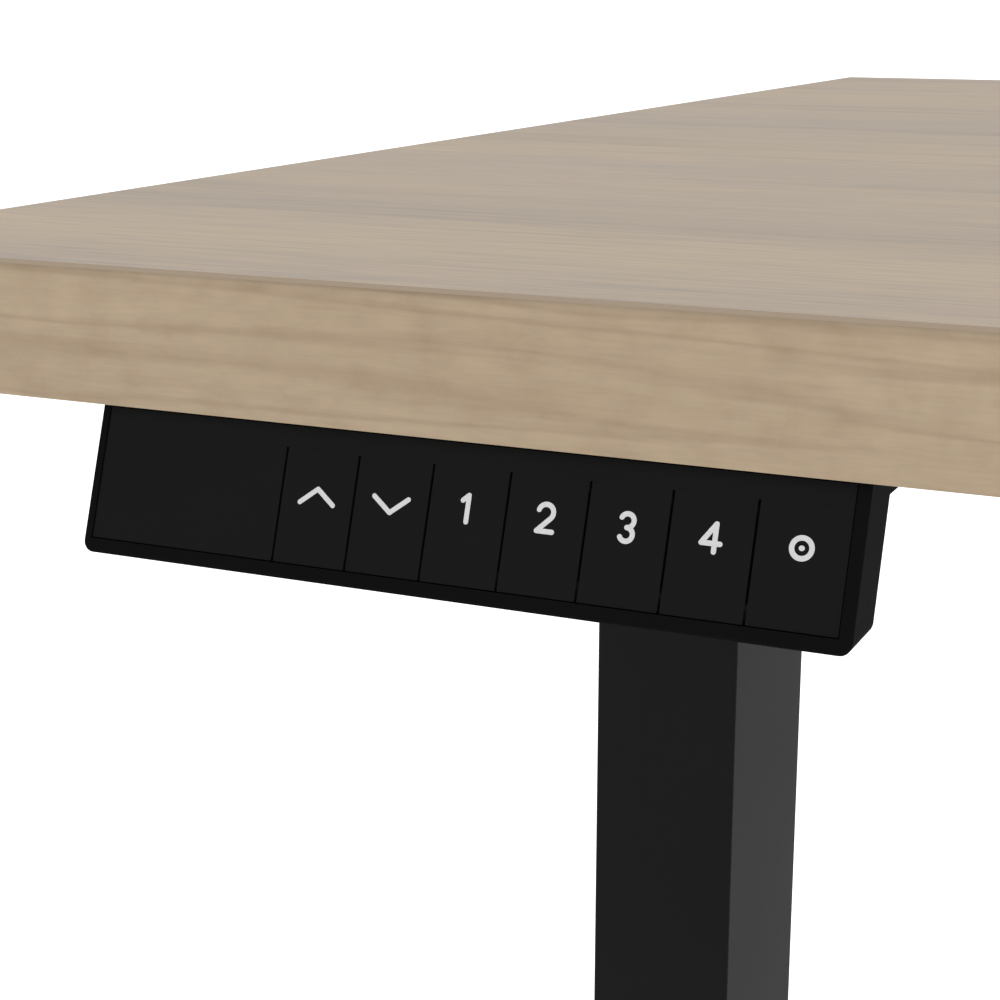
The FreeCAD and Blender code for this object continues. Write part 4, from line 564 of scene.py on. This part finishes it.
def stroke(path, width, steps=9):
    """The outline of a round ended stroke: the path moved half a width to its left, a half
    circle round the far end, the path moved to its right on the way back, a half circle."""
    path = np.asarray(path, float)
    along = np.gradient(path, axis=0)
    along /= np.linalg.norm(along, axis=1)[:, None]
    left = np.column_stack([-along[:, 1], along[:, 0]])
    turn = np.linspace(0, math.pi, steps)[1:-1, None]
    far = path[-1] + (np.cos(turn) * left[-1] + np.sin(turn) * along[-1]) * width / 2
    near = path[0] - (np.cos(turn) * left[0] + np.sin(turn) * along[0]) * width / 2
    return np.vstack([path + left * width / 2, far, (path - left * width / 2)[::-1], near])


HANDSET_TILT = math.radians(19)
KEY_THICK = 1.6 * MM
PRINT_THICK = 0.03 * MM
# Strokes of one sign cross, so each lies a hair higher than the last and no two faces coincide.
STROKE_STEP = 0.003 * MM
SUNK = 0.01 * MM
STROKE = 0.85
FIGURE = 4.4
ARROW_HALF, ARROW_RISE = 3.2, 2.5
BOWL = FIGURE / 4
RING = 1.6
SIGN_FOOT = 10.6
# Each sign is a list of paths in millimetres from the key's middle line and the signs' foot.
SIGNS = {
    "key_up": [[(-ARROW_HALF, 0), (0, ARROW_RISE)], [(0, ARROW_RISE), (ARROW_HALF, 0)]],
    "key_down": [[(-ARROW_HALF, ARROW_RISE), (0, 0)], [(0, 0), (ARROW_HALF, ARROW_RISE)]],
    "key_one": [[(-0.9, FIGURE - 0.9), (0.1, FIGURE)], [(0.1, FIGURE), (0.1, 0)]],
    "key_two": [arc((0, FIGURE - 1.3), 1.3, 165, -42), [(0.97, FIGURE - 2.17), (-1.3, 0)],
                [(-1.3, 0), (1.4, 0)]],
    "key_three": [arc((0, 3 * BOWL), BOWL, 155, -90), arc((0, BOWL), BOWL, 90, -155)],
    "key_four": [[(0.7, 0), (0.7, FIGURE)], [(0.7, FIGURE), (-1.5, 1.3)],
                 [(-1.5, 1.3), (1.6, 1.3)]],
    "key_memory": [arc((0, FIGURE / 2), RING, 0, 180), arc((0, FIGURE / 2), RING, 180, 360),
                   [(-0.05, FIGURE / 2), (0.05, FIGURE / 2)]],
}
face_right = Vector((1, 0, 0))
face_up = Vector((0, math.sin(HANDSET_TILT), math.cos(HANDSET_TILT)))
face_out = Vector((0, -math.cos(HANDSET_TILT), math.sin(HANDSET_TILT)))
face_axes = np.array([face_right, face_up, face_out])
sign_print, sign_tree, sign_shader = principled("sign_print", (0.58, 0.58, 0.58), 0.6, 0.2)
sign_grain = noise(sign_tree, stretched(sign_tree, (1, 1, 1)), scale=2500, detail=2)
sign_tone = ramp(sign_tree, sign_grain, [(0.3, 0.55), (0.7, 0.61)])
sign_tree.links.new(sign_tone, sign_shader.inputs["Base Color"])
for key, paths in SIGNS.items():
    low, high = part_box(key)
    origin = np.array([(low.x + high.x) / 2, low.y, low.z + KEY_THICK * math.sin(HANDSET_TILT)])
    origin += np.array(face_up) * SIGN_FOOT * MM
    shapes = [lifted(stroke(path, STROKE) * MM, -SUNK, PRINT_THICK + number * STROKE_STEP)
              for number, path in enumerate(paths)]
    points, faces = joined(shapes)
    mesh_piece(f"sign_{key}", origin + points @ face_axes, faces, key, sign_print)
print("signs", len(SIGNS))

# %% [markdown]
# ## The living hinge
# The keys and the plain end of the panel are one moulding: each key is a tongue that bends at its
# root. A film a few hundredths of a millimetre thick runs over all seven roots, as the moulding's
# own skin does, and hides the line where the mechanical model parts them.

# %% Hinge film
def slab(size_low, size_high):
    """A closed box between two corners: eight points, six faces that look outward."""
    pick = np.array([(0, 0, 0), (1, 0, 0), (1, 1, 0), (0, 1, 0),
                     (0, 0, 1), (1, 0, 1), (1, 1, 1), (0, 1, 1)])
    points = np.where(pick == 1, np.asarray(size_high, float), np.asarray(size_low, float))
    faces = [(3, 2, 1, 0), (4, 5, 6, 7), (0, 1, 5, 4), (1, 2, 6, 5), (2, 3, 7, 6), (3, 0, 4, 7)]
    return points, faces


FILM_INSET = 0.05 * MM
FILM_ON_KEY, FILM_ON_PANEL = 0.12 * MM, 0.17 * MM
FILM_THICK = 0.02 * MM
first_low, first_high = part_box("key_up")
last_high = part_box("key_memory")[1]
key_foot = first_low.z + KEY_THICK * math.sin(HANDSET_TILT)
key_reach = (first_high.z - key_foot) / math.cos(HANDSET_TILT)
film_origin = np.array([first_low.x, first_low.y, key_foot])
film_width = last_high.x - first_low.x
points, faces = slab((FILM_INSET, key_reach - FILM_ON_KEY, -SUNK),
                     (film_width - FILM_INSET, key_reach + FILM_ON_PANEL, FILM_THICK))
mesh_piece("hinge_film", film_origin + points @ face_axes, faces, "top",
           FINISHES["panel_plastic"])
print("film", round(film_width / MM, 1), "mm, roots at", round(key_reach / MM, 2), "mm")

# %% [markdown]
# ## Wipers and welds
# Where one tube slides out of another a thin nylon wiper closes the gap. It is a rounded
# rectangular frame pressed over the tube's end. The lower tube is welded to its foot, and a weld
# bead is a row of overlapping ripples, so its radius rises and falls along the way.

# %% Helpers for frames and beads
def rectangle_line(low, high, radius, steps=8):
    """The rounded outline of a rectangle between two corners, as points (x, y)."""
    return outline([(low[0], low[1], radius), (high[0], low[1], radius),
                    (high[0], high[1], radius), (low[0], high[1], radius)], steps)


def frame_between(inner, outer, low, high):
    """A closed band between two lines with the same number of points, at two heights: four
    rings, joined in order round the profile inner low, outer low, outer high, inner high."""
    count = len(inner)
    rings = [(inner, low), (outer, low), (outer, high), (inner, high)]
    points = np.vstack([np.column_stack([line, np.full(count, height)]) for line, height in rings])
    here = np.arange(count)
    after = (here + 1) % count
    faces = []
    for ring in range(4):
        this, other = ring * count, (ring + 1) % 4 * count
        faces += np.column_stack([here + this, here + other, after + other, after + this]).tolist()
    return points, faces


def bead_round(line, height, radius, ripple, pitch, around=10):
    """A closed tube along a closed level line. Its radius is radius * (1 + ripple * cos(2 pi s /
    pitch)), where s is the way gone along the line."""
    ahead = np.roll(line, -1, axis=0) - np.roll(line, 1, axis=0)
    ahead /= np.linalg.norm(ahead, axis=1)[:, None]
    side = np.column_stack([ahead[:, 1], -ahead[:, 0]])
    run = np.cumsum(np.linalg.norm(line - np.roll(line, 1, axis=0), axis=1))
    thick = radius * (1 + ripple * np.cos(2 * math.pi * run / pitch))
    turn = np.arange(around) * 2 * math.pi / around
    out = np.cos(turn)[None, :, None] * side[:, None, :] * thick[:, None, None]
    up = np.sin(turn)[None, :] * thick[:, None]
    points = np.concatenate([line[:, None, :] + out, (height + up)[:, :, None]], axis=2)
    count = len(line)
    i, j = np.meshgrid(np.arange(count), np.arange(around), indexing="ij")
    i_next, j_next = (i + 1) % count, (j + 1) % around
    faces = np.stack([i * around + j, i_next * around + j, i_next * around + j_next,
                      i * around + j_next], axis=-1).reshape(-1, 4)
    return points.reshape(-1, 3), faces.tolist()


def evenly(line, count):
    """A closed line read again at equal steps of its length."""
    closed = np.vstack([line, line[:1]])
    way = np.concatenate([[0], np.cumsum(np.linalg.norm(np.diff(closed, axis=0), axis=1))])
    spots = np.linspace(0, way[-1], count, endpoint=False)
    return np.column_stack([np.interp(spots, way, closed[:, axis]) for axis in (0, 1)])


# %% Wipers
wiper_nylon = moulded("wiper_nylon", (0.012, 0.012, 0.012), 0.6, 0.2, 1500, 0.00003)
WIPER = 1.4 * MM
WIPER_INSET = 0.3 * MM
TUBE_ROUND = 1.2 * MM
wipers = []
for side in ("left", "right"):
    wipers.append((f"{side}_upper_tube", f"{side}_middle_tube", "top"))
    wipers.append((f"{side}_middle_tube", f"{side}_lower_tube", f"{side}_middle"))
for outer_name, inner_name, body in wipers:
    outer_low, outer_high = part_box(outer_name)
    inner_low, inner_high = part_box(inner_name)
    outside = rectangle_line((outer_low.x + WIPER_INSET, outer_low.y + WIPER_INSET),
                             (outer_high.x - WIPER_INSET, outer_high.y - WIPER_INSET), TUBE_ROUND)
    inside = rectangle_line((inner_low.x - WIPER_INSET, inner_low.y - WIPER_INSET),
                            (inner_high.x + WIPER_INSET, inner_high.y + WIPER_INSET), TUBE_ROUND)
    points, faces = frame_between(inside, outside, outer_low.z - WIPER, outer_low.z - SUNK)
    mesh_piece(f"wiper_{outer_name}", points, faces, body, wiper_nylon)
print("wipers", len(wipers))

# %% Weld beads on the feet
BEAD, BEAD_PITCH, BEAD_RIPPLE, BEAD_STEPS = 1.9 * MM, 1.9 * MM, 0.13, 420
BEAD_OUT, BEAD_TURN = 0.4 * MM, 2 * MM
for side in ("left", "right"):
    tube_low, tube_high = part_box(f"{side}_lower_tube")
    foot_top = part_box(f"{side}_foot")[1].z
    line = rectangle_line((tube_low.x - BEAD_OUT, tube_low.y - BEAD_OUT),
                          (tube_high.x + BEAD_OUT, tube_high.y + BEAD_OUT), BEAD_TURN)
    points, faces = bead_round(evenly(line, BEAD_STEPS), foot_top, BEAD, BEAD_RIPPLE, BEAD_PITCH)
    mesh_piece(f"weld_{side}_foot", points, faces, "base",
               FINISHES["frame_black"], smooth=True)
print("welds 2")

# %% [markdown]
# ### Grips, crimps and ribs
# A leveller's pad has a fluted rim, so that fingers can turn it. A motor can is closed by two
# crimped rings. The control box has a row of ribs on its bottom, which stiffen the thin plastic.
# Grips and rings are bands between two circles, and a grip's outer circle is wavy. A rib is a
# flat bar with round ends.

# %% Fluted grips on the levellers
def circle_line(radius, count, flute=0.0, flutes=0):
    """A circle whose radius is radius + flute * cos(flutes * turn)."""
    turn = np.arange(count) * 2 * math.pi / count
    reach = radius + flute * np.cos(flutes * turn)
    return np.column_stack([np.cos(turn) * reach, np.sin(turn) * reach])


GRIP_LOW, GRIP_HIGH = 2.2 * MM, 6.2 * MM
GRIP_SUNK, GRIP_OUT, FLUTE = 0.6 * MM, 0.15 * MM, 0.35 * MM
GRIP_STEPS, FLUTES = 240, 24
levellers = [name for name in nodes if name.endswith("_leveller")]
for name in levellers:
    low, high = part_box(name)
    middle = np.array([(low.x + high.x) / 2, (low.y + high.y) / 2])
    pad_radius = (high.x - low.x) / 2
    inner = circle_line(pad_radius - GRIP_SUNK, GRIP_STEPS) + middle
    outer = circle_line(pad_radius + GRIP_OUT, GRIP_STEPS, FLUTE, FLUTES) + middle
    points, faces = frame_between(inner, outer, low.z + GRIP_LOW, low.z + GRIP_HIGH)
    mesh_piece(f"grip_{name}", points, faces, name, FINISHES["leveller_rubber"])
print("grips", len(levellers))

# %% Crimped rings on the motors
RING_SHARES = (0.22, 0.7)
RING_SUNK, RING_OUT, RING_HALF, RING_STEPS = 0.5 * MM, 0.6 * MM, 1.5 * MM, 96
for side in ("left", "right"):
    low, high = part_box(f"{side}_motor")
    radius = (high.z - low.z) / 2
    shapes = []
    inner = circle_line(radius - RING_SUNK, RING_STEPS)
    outer = circle_line(radius + RING_OUT, RING_STEPS)
    for share in RING_SHARES:
        level = low.x + share * (high.x - low.x)
        points, faces = frame_between(inner, outer, level - RING_HALF, level + RING_HALF)
        points = np.column_stack([points[:, 2], points[:, 0] + (low.y + high.y) / 2,
                                  points[:, 1] + (low.z + high.z) / 2])
        shapes.append((points, faces))
    points, faces = joined(shapes)
    mesh_piece(f"crimps_{side}_motor", points, faces, "top", FINISHES["motor_can"])
print("crimped rings 4")

# %% Ribs under the control box
RIBS, RIB_HALF, RIB_ROUND = 15, 0.9 * MM, 0.85 * MM
RIB_FROM_END, RIB_FROM_SIDE = 22 * MM, 16 * MM
RIB_DEEP, RIB_SUNK = 0.9 * MM, 0.2 * MM
low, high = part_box("control_box_housing")
bottom = min(low.z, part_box("control_box_lid")[0].z)
shapes = []
for place in np.linspace(low.x + RIB_FROM_END, high.x - RIB_FROM_END, RIBS):
    bar = rectangle_line((place - RIB_HALF, low.y + RIB_FROM_SIDE),
                         (place + RIB_HALF, high.y - RIB_FROM_SIDE), RIB_ROUND, 6)
    shapes.append(lifted(bar, bottom - RIB_DEEP, bottom + RIB_SUNK))
points, faces = joined(shapes)
mesh_piece("ribs_control_box", points, faces, "top", FINISHES["control_housing"])
print("ribs", len(shapes), "bottom at", round(bottom / MM, 1))

# %% [markdown]
# ### Drive recesses
# Socket head bolts have a hexagon in the head, and the wood screws a cross. Seen from below each
# is a dark shape on bright zinc. The heads are found from the mesh itself: its points are
# gathered screw by screw, and the lowest points of each screw are the face of its head. The
# recess isn't cut: a thin dark plate on that face paints the shade inside it, because cutting
# the mechanical model isn't needed.

# %% Recesses in screw heads
HEAD_WIDE = 10.5 * MM
FACE_SLACK = 0.05 * MM
ACROSS_FLATS = 5 * MM
CROSS_LONG, CROSS_WIDE = 4.2 * MM, 1.1 * MM
RECESS_SHOWS, RECESS_SUNK = 0.04 * MM, 0.02 * MM
# Painted shade: a dark plate that stands in for the shade inside each recess.
painted_recess_shade = bare_metal("recess_shade", (0.03, 0.03, 0.03), 0.6, (900, 900, 900), 0.00001)


def head_middles(name, wide):
    """Middles (x, y, z) of the downward faces of separate heads. The heads are taken one after
    another: each is every point within one head's width of the first point that is left."""
    mesh = nodes[name].data
    places = np.empty(len(mesh.vertices) * 3)
    mesh.vertices.foreach_get("co", places)
    left = places.reshape(-1, 3)
    middles = []
    while len(left):
        same = np.linalg.norm(left[:, :2] - left[0, :2], axis=1) < wide
        head, left = left[same], left[~same]
        face = head[head[:, 2] < head[:, 2].min() + FACE_SLACK]
        middles.append((face.min(axis=0) + face.max(axis=0)) / 2)
    return np.array(middles)


def hexagon(across):
    """The six corners of a hexagon, across its flats."""
    turn = np.arange(6) * math.pi / 3
    return np.column_stack([np.cos(turn), np.sin(turn)]) * across / math.sqrt(3)


def cross(long, wide):
    """The twelve corners of a cross, counter-clockwise."""
    a, b = long / 2, wide / 2
    return np.array([(a, -b), (a, b), (b, b), (b, a), (-b, a), (-b, b), (-a, b), (-a, -b),
                     (-b, -b), (-b, -a), (b, -a), (b, -b)])


RECESSES = (("foot_bolts", hexagon(ACROSS_FLATS), "base"),
            ("frame_bolts", hexagon(ACROSS_FLATS), "top"),
            ("wood_screws", cross(CROSS_LONG, CROSS_WIDE), "top"))
for name, shape, body in RECESSES:
    middles = head_middles(name, HEAD_WIDE)
    shapes = []
    for middle in middles:
        points, faces = lifted(shape, middle[2] - RECESS_SHOWS, middle[2] + RECESS_SUNK)
        points[:, :2] += middle[:2]
        shapes.append((points, faces))
    points, faces = joined(shapes)
    mesh_piece(f"recess_{name}", points, faces, body, painted_recess_shade)
    print("recesses", name, len(middles))
